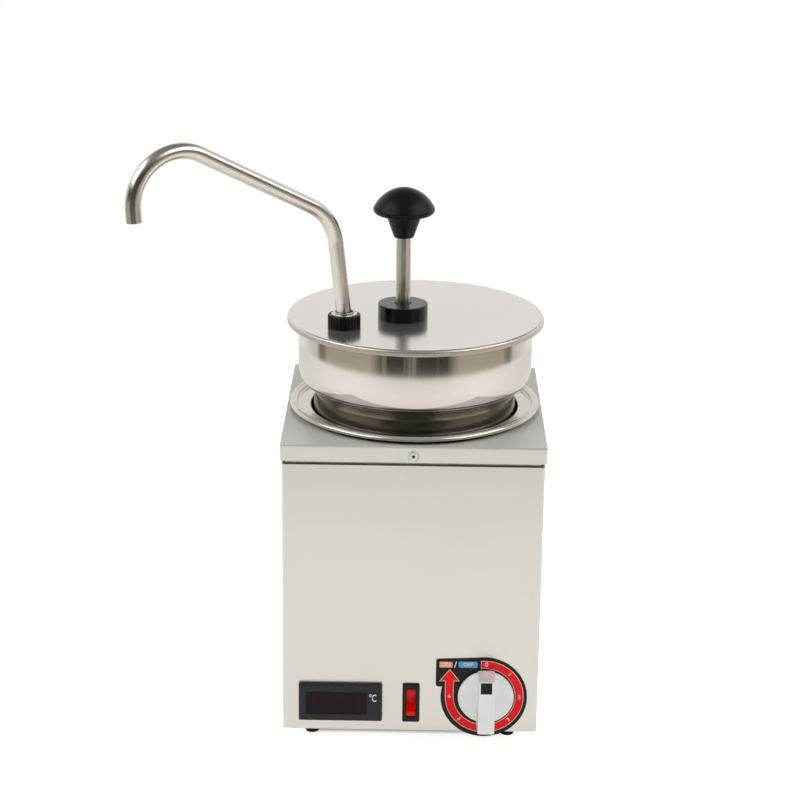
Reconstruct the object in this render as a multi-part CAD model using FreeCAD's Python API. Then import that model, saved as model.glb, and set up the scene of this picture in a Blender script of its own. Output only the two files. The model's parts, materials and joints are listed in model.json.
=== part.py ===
"""Hot fudge topping warmer: heated cabinet, sauce pan, lid with portion pump and swivel spout.

Millimetres, +Z up. The origin is the middle of the four feet on the counter, -Y is the control side.
Every function below returns one sub-part, and PARTS at the end names them all.
"""
import FreeCAD, Part
import math
import os

V = FreeCAD.Vector

# Cabinet
COVER = 220.0            # top cover, outside, square
COVER_TOP = 271.5
SKIRT = 14.0             # how far the cover folds down
WRAP = 217.0             # sheet wrap, outside, square
WRAP_BOTTOM = 13.0
WRAP_TOP = 254.0
SHEET = 1.0
FRAME = 211.2            # frame between wrap and cover, outside, square
FRAME_SHEET = 1.5
FLANGE_OPENING = 97.0    # half width of the opening left by the top flanges
PANEL_Y = -WRAP / 2      # outer face of the control side
REAR_Y = WRAP / 2        # outer face of the rear panel
SKIRT_SCREW_Z = 262.8
SCREW_DIMPLE = 0.8       # depth of the pressed dimple under a skirt screw
FOOT_X = 84.5            # feet, from the middle
FOOT_Y = 84.9
FOOT_HEIGHT = 14.0
BASE_SHEET = 1.2

# Water tank and ring
TANK_RADIUS = 94.0       # inside
TANK_FLOOR = 141.0       # top of the floor
PAN_SEAT = 146.0         # top of the embossed ring that carries the pan
RING_HOLE = 88.9
RING_BEAD_OUT = 107.5
RING_BEAD_IN = 100.8
RING_CREST = 278.0
RING_FOOT = 274.7        # lower edge of the bead's outer side, clear of the cover
RING_SHELF = 273.5
RING_SHEET = 1.2

# Sauce pan and lid
PAN_FOOT = 86.0          # radius of the lower body at its bottom
PAN_NECK = 87.6          # radius where it passes the ring
PAN_WAIST = 85.6         # radius in the groove under the shoulder
PAN_WIDE = 100.4         # radius above the shoulder
PAN_NECK_Z = 271.0
PAN_WAIST_Z = 285.0
PAN_SHOULDER = 293.3
PAN_RIM = 351.7
PAN_SHEET = 1.0
LID_RADIUS = 109.6
LID_TOP = 353.2
LID_EDGE = 5.2           # height of the turned-down edge
LID_SHEET = 1.5

# Portion pump: its own frame has the pump axis at (0, 0) and the spout riser on -X
PUMP_X = -10.9
PUMP_Y = -12.0
REACH = 57.9             # pump axis to riser axis
SWING = 32.7             # degrees from the pump's -X to the cabinet's -X
BARREL_IN = 13.75
BARREL_OUT = 15.75
ROD = 6.35
TUBE = 6.35              # outside radius of the riser and the spout
TUBE_BORE = 5.45
RUNNING = 0.05           # radial clearance of a running fit
VALVE_TOP = 190.0
BARREL_FOOT = 180.0
PISTON_LOW = 252.0
PISTON_HIGH = 264.0
COLLAR_RADIUS = 21.15
COLLAR_TOP = 365.9
NUT_RADIUS = 13.7
NUT_TOP = 364.3
COUPLING_TOP = 360.0
KNOB_BOTTOM = 423.5
KNOB_WIDEST = 447.7
KNOB_TOP = 465.8
KNOB_RADIUS = 25.9
SPRING_TURNS = 8
SPRING_WIRE = 1.8
SPRING_MEAN = 11.0       # mean radius

# Spout centre line in the vertical plane of pump and riser: (distance from the riser, height)
SPOUT_FOOT = (0.0, 354.3)
SPOUT_LEAN = (0.0, 362.2)
SPOUT_BEND = (11.0, 449.3)
SPOUT_BEND_RADIUS = 45.0
ARCH_CENTRE = (149.9, 477.3)
ARCH_RADIUS = 40.3
ARCH_RISE = 27.93        # degrees of the straight run above level
OUTLET_TUCK = 3.5        # degrees that the arch runs past vertical
OUTLET_RUN = 9.2

# Control side
DISPLAY_X = (-94.8, -23.8)
DISPLAY_Z = (22.8, 56.2)
WINDOW_X = (-88.7, -36.9)
WINDOW_Z = (29.0, 49.9)
DISPLAY_PROUD = 4.5
SWITCH_X = (-6.5, 8.2)
SWITCH_Z = (21.4, 56.9)
ROCKER_Z = 38.9          # height of the rocker's pivot
ROCKER_WIDTH = 7.6
ROCKER_SWEEP = 12.7      # radius of the rocker's ends about its pivot
ROCKER_REST = 10.0       # degrees that the rocker leans at rest
PLATE_X = 62.8
PLATE_Z = 45.3
PLATE_RADIUS = 36.8
PLATE_SHEET = 0.8
DIAL_X = 64.4
DIAL_Z = 46.7
DIAL_RADIUS = 23.8
DIAL_FRONT = 4.2         # disc face above the panel
GRIP_FRONT = 26.2        # grip face above the panel
GRIP_UP = 24.9           # grip's ends, from the shaft
GRIP_DOWN = 23.5
GRIP_WIDTH_UP = 12.6
GRIP_WIDTH_DOWN = 14.2

# Rear
GLAND_X = 70.0
GLAND_Z = 45.0
CORD_HOLE = 4.0


def box(x0, x1, y0, y1, z0, z1):
    return Part.makeBox(x1 - x0, y1 - y0, z1 - z0, V(x0, y0, z0))


def rod(radius, z0, z1, x=0.0, y=0.0):
    return Part.makeCylinder(radius, z1 - z0, V(x, y, z0))


def tube(outer, inner, z0, z1, x=0.0, y=0.0):
    return rod(outer, z0, z1, x, y).cut(rod(inner, z0 - 1, z1 + 1, x, y))


def rod_y(radius, y0, y1, x, z):
    return Part.makeCylinder(radius, y1 - y0, V(x, y0, z), V(0, 1, 0))


def rod_x(radius, x0, x1, y, z):
    return Part.makeCylinder(radius, x1 - x0, V(x0, y, z), V(1, 0, 0))


def rounded_edges(corners, place, closed=True):
    """Lines through (a, b, radius) corners with an arc of that radius at each; place maps to space."""
    count = len(corners)
    stops = []
    for i, (a, b, radius) in enumerate(corners):
        here = V(a, b, 0)
        if radius == 0 or (not closed and i in (0, count - 1)):
            stops.append((here, None, here))
            continue
        before = V(corners[i - 1][0], corners[i - 1][1], 0) - here
        after = V(corners[(i + 1) % count][0], corners[(i + 1) % count][1], 0) - here
        half = before.getAngle(after) / 2
        before.normalize()
        after.normalize()
        inward = before + after
        inward.normalize()
        reach = radius / math.tan(half)
        middle = here + inward * (radius / math.sin(half) - radius)
        stops.append((here + before * reach, middle, here + after * reach))
    edges = []
    for i, (start, middle, end) in enumerate(stops):
        if middle is not None:
            edges.append(Part.Arc(place(start), place(middle), place(end)).toShape())
        if closed or i < count - 1:
            following = stops[(i + 1) % count][0]
            if (following - end).Length > 1e-6:
                edges.append(Part.LineSegment(place(end), place(following)).toShape())
    return edges


def sharp(*points):
    return [(a, b, 0) for a, b in points]


def turned(corners, x=0.0, y=0.0, angle=360.0):
    """Solid of revolution about the vertical line at (x, y) from (radius, height, rounding) corners."""
    wire = Part.Wire(rounded_edges(corners, lambda p: V(p.x, 0, p.y)))
    solid = Part.Face(wire).revolve(V(0, 0, 0), V(0, 0, 1), angle)
    solid.translate(V(x, y, 0))
    return solid


def turned_y(corners, x, z):
    """Solid of revolution about the line through (x, z) along Y from (radius, y, rounding) corners."""
    solid = turned(corners)
    solid.rotate(V(0, 0, 0), V(1, 0, 0), -90)
    solid.translate(V(x, 0, z))
    return solid


def plate_z(corners, z0, z1):
    wire = Part.Wire(rounded_edges(corners, lambda p: V(p.x, p.y, z0)))
    return Part.Face(wire).extrude(V(0, 0, z1 - z0))


def plate_y(corners, y0, y1):
    wire = Part.Wire(rounded_edges(corners, lambda p: V(p.x, y0, p.y)))
    return Part.Face(wire).extrude(V(0, y1 - y0, 0))


def rounded_rectangle(a0, a1, b0, b1, radius):
    return [(a0, b0, radius), (a1, b0, radius), (a1, b1, radius), (a0, b1, radius)]


def slot_y(width, height, x, z, y0, y1):
    half = height / 2
    outline = rounded_rectangle(x - width / 2, x + width / 2, z - half, z + half, half - 0.01)
    return plate_y(outline, y0, y1)


def slot_z(width, height, x, y, z0, z1):
    half = height / 2
    outline = rounded_rectangle(x - width / 2, x + width / 2, y - half, y + half, half - 0.01)
    return plate_z(outline, z0, z1)


def hexagon(across_flats):
    radius = across_flats / math.sqrt(3)
    turns = [math.radians(60 * i) for i in range(6)]
    return [(radius * math.cos(turn), radius * math.sin(turn), 0) for turn in turns]


def sweep(edges, radius, start, direction):
    """Round bar along joined edges."""
    section = Part.Wire([Part.Circle(start, direction, radius).toShape()])
    return Part.Wire(edges).makePipeShell([section], True, False)


def cut_all(shape, tools):
    for tool in tools:
        shape = shape.cut(tool)
    return shape


def fuse_all(shapes):
    result = shapes[0]
    for shape in shapes[1:]:
        result = result.fuse(shape)
    return result.removeSplitter()


def in_pump_frame(shape):
    """Moves a shape from the pump's own frame to its place on the lid."""
    placed = shape.copy()
    placed.rotate(V(0, 0, 0), V(0, 0, 1), SWING)
    placed.translate(V(PUMP_X, PUMP_Y, 0))
    return placed


def four_sides(make):
    """Makes a shape on the control side and turns copies of it to the other three sides."""
    copies = []
    for turn in range(4):
        shape = make()
        shape.rotate(V(0, 0, 0), V(0, 0, 1), 90 * turn)
        copies.append(shape)
    return copies


# Places of the screws
FOOT_PLACES = [(sx * FOOT_X, sy * FOOT_Y) for sx in (-1, 1) for sy in (-1, 1)]
BASE_SCREW_PLACES = [(sx * 101.0, y) for sx in (-1, 1) for y in (-60.0, 60.0)]
BASE_SCREW_PLACES += [(x, -101.0) for x in (-50.0, 50.0)]
REAR_SCREW_PLACES = [(sx * 101.0, z) for sx in (-1, 1) for z in (32.0, 133.0, 236.0)]
THERMOSTAT_SCREWS = [DIAL_X - 14.0, DIAL_X + 14.0]


# Cabinet shell

def body_wrap():
    """Front and sides in one folded sheet, with return flanges at the bottom, the top and the rear."""
    half = WRAP / 2
    back = half - SHEET
    shell = plate_z(rounded_rectangle(-half, half, -half, back, 2.0), WRAP_BOTTOM, WRAP_TOP)
    inner = half - SHEET
    hollow = plate_z(rounded_rectangle(-inner, inner, -inner, back - SHEET, 1.0),
                     WRAP_BOTTOM + SHEET, WRAP_TOP - SHEET)
    bottom = 94.6
    openings = [
        hollow,
        box(-bottom, bottom, -bottom, bottom, 0, WRAP_BOTTOM + 2),
        box(-FLANGE_OPENING, FLANGE_OPENING, -FLANGE_OPENING, FLANGE_OPENING, WRAP_TOP - 2, WRAP_TOP + 1),
        box(-bottom, bottom, back - 2, half, 27.0, 240.0),
        box(DISPLAY_X[0] + 2, DISPLAY_X[1] - 2, PANEL_Y - 1, PANEL_Y + 2, DISPLAY_Z[0] + 2, DISPLAY_Z[1] - 2),
        box(SWITCH_X[0] + 0.8, SWITCH_X[1] - 0.8, PANEL_Y - 1, PANEL_Y + 2, SWITCH_Z[0] + 3, SWITCH_Z[1] - 3),
        rod_y(5.3, PANEL_Y - 1, PANEL_Y + 2, DIAL_X, DIAL_Z),
    ]
    openings += [rod_y(2.1, PANEL_Y - 1, PANEL_Y + 2, x, DIAL_Z) for x in THERMOSTAT_SCREWS]
    openings += [rod_y(1.5, back - 2, half, x, z) for x, z in REAR_SCREW_PLACES]
    openings += [rod(1.7, 0, WRAP_BOTTOM + 2, x, y) for x, y in BASE_SCREW_PLACES]
    return cut_all(shell, openings)


def rear_panel():
    """Flat sheet over the rear flanges, with air slots and the hole for the cord's gland."""
    half = WRAP / 2 - 0.3
    outline = rounded_rectangle(-half, half, WRAP_BOTTOM + 1.5, WRAP_TOP - 1.5, 2.0)
    panel = plate_y(outline, REAR_Y - SHEET, REAR_Y)
    holes = [rod_y(1.8, REAR_Y - 2, REAR_Y + 1, x, z) for x, z in REAR_SCREW_PLACES]
    holes.append(rod_y(8.1, REAR_Y - 2, REAR_Y + 1, GLAND_X, GLAND_Z))
    for column in (-42.0, 42.0):
        for row in range(6):
            holes.append(slot_y(56.0, 4.0, column, 84.0 + 10.0 * row, REAR_Y - 2, REAR_Y + 1))
    return cut_all(panel, holes)


def base_plate():
    """Floor of the cabinet, on the wrap's bottom flanges, with air slots."""
    half = WRAP / 2 - SHEET - 0.3
    z0 = WRAP_BOTTOM + SHEET
    plate = plate_z(rounded_rectangle(-half, half, -half, half - SHEET, 1.0), z0, z0 + BASE_SHEET)
    holes = [rod(2.2, 0, 20, x, y) for x, y in FOOT_PLACES]
    holes += [rod(1.7, 0, 20, x, y) for x, y in BASE_SCREW_PLACES]
    for column in (-32.0, 32.0):
        for row in range(5):
            holes.append(slot_z(44.0, 4.0, column, -24.0 + 12.0 * row, 0, 20))
    return cut_all(plate, holes)


def support_frame():
    """Square frame on the wrap that the cover sits on, with a threaded boss behind each skirt screw."""
    half = FRAME / 2
    inner = half - FRAME_SHEET
    top = COVER_TOP - SHEET
    walls = box(-half, half, -half, half, WRAP_TOP, top)
    walls = walls.cut(box(-inner, inner, -inner, inner, WRAP_TOP + FRAME_SHEET, top + 1))
    mouth = FLANGE_OPENING
    walls = walls.cut(box(-mouth, mouth, -mouth, mouth, WRAP_TOP - 1, top))
    face = -COVER / 2 + SHEET + SCREW_DIMPLE
    walls = fuse_all([walls] + four_sides(lambda: rod_y(4.0, face, -inner, 0, SKIRT_SCREW_Z)))
    return cut_all(walls, four_sides(lambda: rod_y(1.65, face - 1, -inner + 1, 0, SKIRT_SCREW_Z)))


def top_cover():
    """Folded cover with a round mouth and a shallow dimple for the screw in each skirt."""
    half = COVER / 2
    z0 = COVER_TOP - SKIRT
    outside = plate_z(rounded_rectangle(-half, half, -half, half, 1.5), z0, COVER_TOP)
    rim = [e for e in outside.Edges if all(abs(v.Z - COVER_TOP) < 0.01 for v in e.Vertexes)]
    outside = outside.makeFillet(1.0, rim)
    inner = half - SHEET
    hollow = plate_z(rounded_rectangle(-inner, inner, -inner, inner, 0.6), z0 - 1, COVER_TOP - SHEET)
    cover = outside.cut(hollow)
    cover = cover.cut(rod(TANK_RADIUS + 1.2, COVER_TOP - 3, COVER_TOP + 1))
    pads = four_sides(lambda: rod_y(5.8, -inner - 0.2, -inner + SCREW_DIMPLE, 0, SKIRT_SCREW_Z))
    cover = fuse_all([cover] + pads)
    dimples = four_sides(lambda: turned_y(sharp((0, -half - 1), (5.4, -half - 1), (5.0, -half),
                                                (4.4, -half + SCREW_DIMPLE), (0, -half + SCREW_DIMPLE)),
                                          0, SKIRT_SCREW_Z))
    holes = four_sides(lambda: rod_y(1.9, -half - 1, -inner + 2, 0, SKIRT_SCREW_Z))
    return cut_all(cover, dimples + holes)


def pan_head(head, thick, shank, length, socket):
    """Pan head screw, head up on z = 0, shank down, with a round driver socket."""
    body = turned([(0, thick, 0), (head, thick, thick * 0.6), (head, 0, 0), (shank, 0, 0),
                   (shank, -length, 0.4), (0, -length, 0)])
    return body.cut(rod(socket, thick * 0.35, thick + 1))


def placed(shape, turn_axis, angle, x, y, z):
    copy = shape.copy()
    copy.rotate(V(0, 0, 0), turn_axis, angle)
    copy.translate(V(x, y, z))
    return copy


def cover_screws():
    screw = pan_head(3.25, 1.5, 1.6, 6.0, 1.25)
    face = -COVER / 2 + SCREW_DIMPLE
    return Part.makeCompound(four_sides(lambda: placed(screw, V(1, 0, 0), 90, 0, face, SKIRT_SCREW_Z)))


def rear_screws():
    screw = pan_head(3.0, 1.7, 1.45, 7.0, 1.2)
    return Part.makeCompound([placed(screw, V(1, 0, 0), -90, x, REAR_Y, z) for x, z in REAR_SCREW_PLACES])


def base_screws():
    screw = pan_head(3.0, 1.7, 1.65, 6.0, 1.2)
    screws = [placed(screw, V(1, 0, 0), 180, x, y, WRAP_BOTTOM) for x, y in BASE_SCREW_PLACES]
    return Part.makeCompound(screws)


def feet():
    """Rubber feet, wider at the cabinet, with a deep counterbore for the screw."""
    corners = [(2.2, FOOT_HEIGHT, 0), (9.4, FOOT_HEIGHT, 0), (9.4, FOOT_HEIGHT - 3, 1.0), (5.7, 0, 0.5),
               (3.9, 0, 0), (3.9, 6.0, 0), (2.2, 6.0, 0)]
    return Part.makeCompound([turned(corners, x, y) for x, y in FOOT_PLACES])


def foot_screws():
    screw = pan_head(3.4, 2.2, 2.0, 14.5, 1.4)
    return Part.makeCompound([placed(screw, V(1, 0, 0), 180, x, y, 6.0) for x, y in FOOT_PLACES])


def foot_nuts():
    z0 = WRAP_BOTTOM + SHEET + BASE_SHEET
    nut = plate_z(hexagon(7.0), z0, z0 + 3.2).cut(rod(2.02, z0 - 1, z0 + 5))
    return Part.makeCompound([placed(nut, V(0, 0, 1), 0, x, y, 0) for x, y in FOOT_PLACES])


# Water tank, heater and ring

def water_tank():
    """Deep drawn round tank, its flange under the cover, with an embossed ring in the floor for the pan."""
    wall = TANK_RADIUS + SHEET
    under = TANK_FLOOR - SHEET
    flange = COVER_TOP - SHEET
    corners = [
        (103.0, flange - SHEET, 0), (103.0, flange, 0), (TANK_RADIUS, flange, 1.5),
        (TANK_RADIUS, TANK_FLOOR, 6.0), (60.0, TANK_FLOOR, 1.0), (56.5, PAN_SEAT, 1.5), (41.5, PAN_SEAT, 1.5),
        (38.0, TANK_FLOOR, 1.0), (0, TANK_FLOOR, 0), (0, under, 0), (38.6, under, 1.0),
        (42.2, PAN_SEAT - SHEET, 1.0), (55.8, PAN_SEAT - SHEET, 1.0), (59.4, under, 1.0), (wall, under, 7.0),
        (wall, flange - SHEET, 0.6),
    ]
    stud = rod(4.0, 118.0, under + 0.2)
    return turned(corners).fuse(stud).removeSplitter()


def heater_plate():
    return tube(72.0, 4.4, TANK_FLOOR - SHEET - 4.0, TANK_FLOOR - SHEET)


def heating_element():
    """Tubular element bent to an open ring, flattened against the heater plate, with turned down ends."""
    top = TANK_FLOOR - SHEET - 4.0
    gap = 24.0
    ring = turned(rounded_rectangle(48.0, 56.0, top - 7.0, top, 2.4), angle=360.0 - gap)
    ring.rotate(V(0, 0, 0), V(0, 0, 1), gap / 2)
    ends = []
    for side in (-1, 1):
        angle = math.radians(side * (gap / 2 + 3.4))
        ends.append(rod(3.0, top - 26.0, top - 4.0, 52.0 * math.cos(angle), 52.0 * math.sin(angle)))
    return fuse_all([ring] + ends)


def heater_clamp():
    """Pressed bar that holds the element and its plate up against the tank."""
    z1 = TANK_FLOOR - SHEET - 11.0
    bar = plate_z(rounded_rectangle(-11, 11, -64, 64, 3.0), z1 - 2.5, z1)
    rib = box(-2.5, 2.5, -44, 44, z1 - 6.0, z1 - 2.0)
    seat = rod(9.0, z1 - 6.0, z1 - 2.0)
    return fuse_all([bar, rib, seat]).cut(rod(4.4, z1 - 10, z1 + 1))


def heater_nut():
    z1 = TANK_FLOOR - SHEET - 17.0
    return plate_z(hexagon(13.0), z1 - 4.0, z1).cut(rod(4.02, z1 - 6, z1 + 1))


def thermal_cutout():
    """Snap disc cut-out under the tank floor, with its two blade terminals."""
    z1 = TANK_FLOOR - SHEET
    x, y = -58.0, -58.0
    can = turned([(0, z1, 0), (7.5, z1, 0.5), (7.5, z1 - 4, 0), (6.6, z1 - 4, 0), (6.6, z1 - 11, 0.8),
                  (0, z1 - 11, 0)], x, y)
    blades = [box(bx - 0.4, bx + 0.4, y - 3.1, y + 3.1, z1 - 18, z1 - 10.5) for bx in (x - 3.5, x + 3.5)]
    return fuse_all([can] + blades)


def adapter_ring():
    """Spun ring over the cabinet's mouth: raised bead, sunk shelf and a lip turned down round the pan."""
    crest = 3.25
    inner_bead = RING_BEAD_IN + RING_SHEET
    outer_bead = RING_BEAD_OUT - RING_SHEET
    under = RING_SHELF - RING_SHEET
    lip = RING_HOLE + RING_SHEET
    corners = [
        (RING_BEAD_OUT, RING_FOOT, 0), (RING_BEAD_OUT, RING_CREST, crest), (RING_BEAD_IN, RING_CREST, crest),
        (RING_BEAD_IN, RING_SHELF, 0.9), (RING_HOLE, RING_SHELF, 2.4), (RING_HOLE, 265.0, 0), (lip, 265.0, 0),
        (lip, under, 1.2), (inner_bead, under, 0.5), (inner_bead, RING_CREST - RING_SHEET, 2.1),
        (outer_bead, RING_CREST - RING_SHEET, 2.05), (outer_bead, RING_FOOT, 0),
    ]
    return turned(corners)


def rim_gasket():
    """Rubber ring between the shelf and the cover, set back under the bead."""
    return turned(rounded_rectangle(97.0, 103.0, COVER_TOP, RING_SHELF - RING_SHEET, 0.3))


# Pan and lid

def sauce_pan():
    """Shouldered inset pan: tapered body in the water, groove under the shoulder, wide bowl, rolled rim."""
    inside_wide = PAN_WIDE - PAN_SHEET
    inside_shoulder = PAN_SHOULDER + PAN_SHEET
    inside_bottom = PAN_SEAT + PAN_SHEET
    corners = [
        (0, PAN_SEAT, 0), (PAN_FOOT, PAN_SEAT, 12.0), (PAN_NECK, PAN_NECK_Z, 6.0),
        (PAN_WAIST, PAN_WAIST_Z, 1.5), (PAN_NECK, PAN_SHOULDER, 2.0), (PAN_WIDE, PAN_SHOULDER, 9.0),
        (PAN_WIDE, PAN_RIM - 3.4, 0.6), (103.6, PAN_RIM - 3.4, 1.6), (103.6, PAN_RIM, 1.6),
        (inside_wide, PAN_RIM, 0.7),
        (inside_wide, inside_shoulder, 8.0), (PAN_NECK - PAN_SHEET, inside_shoulder, 3.0),
        (PAN_WAIST - PAN_SHEET, PAN_WAIST_Z, 2.5), (PAN_NECK - PAN_SHEET, PAN_NECK_Z, 5.0),
        (PAN_FOOT - PAN_SHEET, inside_bottom, 11.0), (0, inside_bottom, 0),
    ]
    return turned(corners)


def lid():
    """Flat lid with a turned-down edge, a hole for the pump's neck and one for the spout's coupling."""
    under = LID_TOP - LID_SHEET
    low = LID_TOP - LID_EDGE
    inside = LID_RADIUS - 1.3
    disc = turned([(0, LID_TOP, 0), (LID_RADIUS, LID_TOP, 2.6), (LID_RADIUS, low, 0.4), (inside, low, 0.4),
                   (inside, under, 1.3), (0, under, 0)])
    holes = fuse_all([rod(13.3, under - 1, LID_TOP + 1), rod(9.3, under - 1, LID_TOP + 1, -REACH)])
    return disc.cut(in_pump_frame(holes))


def lid_locating_ring():
    """Upright band under the lid that centres it in the pan's mouth."""
    top = LID_TOP - LID_SHEET
    return turned([(98.4, top, 0), (98.4, top - 8, 0.4), (97.4, top - 8, 0.4), (97.4, top, 0)])


# Portion pump

def pump_barrel():
    """Cylinder with a clamping flange and a narrower threaded neck that passes up through the lid."""
    under = LID_TOP - LID_SHEET - 1.0
    corners = sharp((BARREL_IN, BARREL_FOOT), (BARREL_OUT, BARREL_FOOT), (BARREL_OUT, under - 2),
                    (22.0, under - 2), (22.0, under), (13.0, under), (13.0, 361.7), (10.0, 361.7),
                    (10.0, under - 2), (BARREL_IN, under - 2))
    return in_pump_frame(turned(corners))


def barrel_gasket():
    under = LID_TOP - LID_SHEET
    return in_pump_frame(tube(21.5, 13.1, under - 1.0, under))


def pump_collar():
    """Black clamping collar on the lid, threaded on the barrel's neck, open round the rod."""
    corners = [(COLLAR_RADIUS, LID_TOP, 0), (COLLAR_RADIUS, COLLAR_TOP, 0.9), (7.0, COLLAR_TOP, 0.6),
               (7.0, 361.9, 0), (13.05, 361.9, 0), (13.05, LID_TOP, 0)]
    return in_pump_frame(turned(corners))


def rod_bush():
    """Flanged guide bush for the rod, held under the neck's step."""
    step = LID_TOP - LID_SHEET - 3.0
    bore = ROD + RUNNING
    corners = sharp((bore, step - 4), (13.6, step - 4), (13.6, step), (9.95, step), (9.95, 361.7),
                    (bore, 361.7))
    return in_pump_frame(turned(corners))


def plunger_rod():
    """Push rod, necked for the knob's insert at the top and for the piston at the foot."""
    low, high = PISTON_LOW - 7, KNOB_BOTTOM + 16
    corners = [(0, low, 0), (4.0, low, 0.5), (4.0, PISTON_HIGH, 0), (ROD, PISTON_HIGH, 0.5),
               (ROD, KNOB_BOTTOM, 0.3), (4.0, KNOB_BOTTOM, 0), (4.0, high, 0.5), (0, high, 0)]
    return in_pump_frame(turned(corners))


def piston():
    land = BARREL_IN - 0.35
    mid = (PISTON_LOW + PISTON_HIGH) / 2
    corners = sharp((4.0, PISTON_LOW), (land, PISTON_LOW), (land, mid - 2), (11.0, mid - 2), (11.0, mid + 2),
                    (land, mid + 2), (land, PISTON_HIGH), (4.0, PISTON_HIGH))
    return in_pump_frame(turned(corners))


def piston_seal():
    mid = (PISTON_LOW + PISTON_HIGH) / 2
    return in_pump_frame(turned(rounded_rectangle(11.0, BARREL_IN - RUNNING, mid - 2, mid + 2, 0.6)))


def piston_nut():
    nut = plate_z(hexagon(13.0), PISTON_LOW - 6, PISTON_LOW)
    return in_pump_frame(nut.cut(rod(4.02, PISTON_LOW - 10, PISTON_LOW + 1)))


def return_spring():
    """Compression spring under the piston: one wire in steady turns, both ends cut square to the axis."""
    low = BARREL_FOOT + 1.5
    rise = PISTON_LOW - low - SPRING_WIRE
    pitch = rise / SPRING_TURNS
    helix = Part.makeHelix(pitch, rise, SPRING_MEAN)
    start = V(SPRING_MEAN, 0, 0)
    slope = V(0, 2 * math.pi * SPRING_MEAN, pitch)
    section = Part.Wire([Part.Circle(start, slope, SPRING_WIRE / 2 - 0.02).toShape()])
    coil = Part.Wire(helix.Edges).makePipeShell([section], True, True)
    coil.translate(V(0, 0, low + SPRING_WIRE / 2))
    return in_pump_frame(coil)


def valve_body():
    """Foot of the pump: inlet seat under the barrel, cross passage and outlet seat under the riser."""
    chamber = turned(sharp((0, 160), (19.0, 160), (19.0, VALVE_TOP), (0, VALVE_TOP)))
    skirt = tube(19.0, 15.5, 152.0, 160.0)
    skirt = skirt.cut(box(-30, 30, -6, 6, 150, 158)).cut(box(-6, 6, -30, 30, 150, 158))
    arm = rod_x(8.5, -REACH, 0, 0, 172.0)
    boss = rod(10.0, 161.0, 200.0, -REACH)
    body = fuse_all([chamber, skirt, arm, boss])
    bores = [
        rod(BARREL_OUT + 0.02, BARREL_FOOT, VALVE_TOP + 1),
        rod(10.0, 164.0, BARREL_FOOT + 1),
        rod(5.0, 150.0, 165.0),
        rod_x(4.5, -REACH, -9.0, 0, 172.0),
        rod(4.0, 172.0, 179.0, -REACH),
        rod(7.0, 178.0, 195.0, -REACH),
        rod(TUBE + 0.02, 194.0, 201.0, -REACH),
    ]
    return in_pump_frame(cut_all(body, bores))


def check_balls():
    """Steel balls on the inlet and the outlet seats, where the seat's edge touches them."""
    balls = []
    for radius, port, seat, x in ((7.0, 5.0, 164.0, 0.0), (5.5, 4.0, 178.0, -REACH)):
        height = seat + math.sqrt(radius ** 2 - port ** 2) + 0.02
        balls.append(Part.makeSphere(radius, V(x, 0, height)))
    return in_pump_frame(Part.makeCompound(balls))


def ball_stops():
    """Pierced discs that keep the balls on their seats and let the sauce past."""
    stops = []
    inlet = (13.6, 180.0, 181.5, 0.0, 3.0, 6.0)
    outlet = (6.3, 192.4, 194.0, -REACH, 1.7, 3.4)
    for radius, z0, z1, x, hole, pitch in (inlet, outlet):
        disc = rod(radius, z0, z1, x)
        for i in range(4):
            angle = math.radians(45 + 90 * i)
            disc = disc.cut(rod(hole, z0 - 1, z1 + 1, x + pitch * math.cos(angle), pitch * math.sin(angle)))
        stops.append(disc)
    return in_pump_frame(Part.makeCompound(stops))


def riser_tube():
    return in_pump_frame(tube(TUBE, TUBE_BORE, 194.0, 353.8, -REACH))


def riser_coupling():
    """Threaded bush through the lid, flanged under it, that takes the riser below and the spout above."""
    under = LID_TOP - LID_SHEET
    bore = TUBE + 0.07
    corners = sharp((bore, 340.0), (9.0, 340.0), (9.0, under - 2.5), (13.0, under - 2.5), (13.0, under),
                    (9.0, under), (9.0, COUPLING_TOP), (bore, COUPLING_TOP), (bore, 358.1), (7.7, 358.1),
                    (7.7, 356.1), (bore, 356.1))
    return in_pump_frame(turned(corners, -REACH))


def spout_seal():
    ring = turned(rounded_rectangle(TUBE + RUNNING, 7.7, 356.1, 358.1, 0.6), -REACH)
    return in_pump_frame(ring)


def spout_nut():
    """Knurled black cap nut that keeps the spout's ferrule in the coupling."""
    ribs = 28
    groove = NUT_RADIUS - 0.7
    outline = []
    for i in range(ribs):
        for share, radius in ((0.0, NUT_RADIUS), (0.45, NUT_RADIUS), (0.6, groove), (0.85, groove)):
            angle = 2 * math.pi * (i + share) / ribs
            outline.append((radius * math.cos(angle), radius * math.sin(angle), 0))
    knurl = plate_z(outline, LID_TOP, NUT_TOP)
    envelope = turned([(0, LID_TOP, 0), (NUT_RADIUS, LID_TOP, 0), (NUT_RADIUS + 0.2, NUT_TOP, 1.3),
                       (0, NUT_TOP, 0)])
    nut = knurl.common(envelope)
    nut = cut_all(nut, [rod(9.05, LID_TOP - 1, 361.6), rod(8.5, LID_TOP - 1, NUT_TOP + 1)])
    nut.translate(V(-REACH, 0, 0))
    return in_pump_frame(nut)


# Spout

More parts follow.
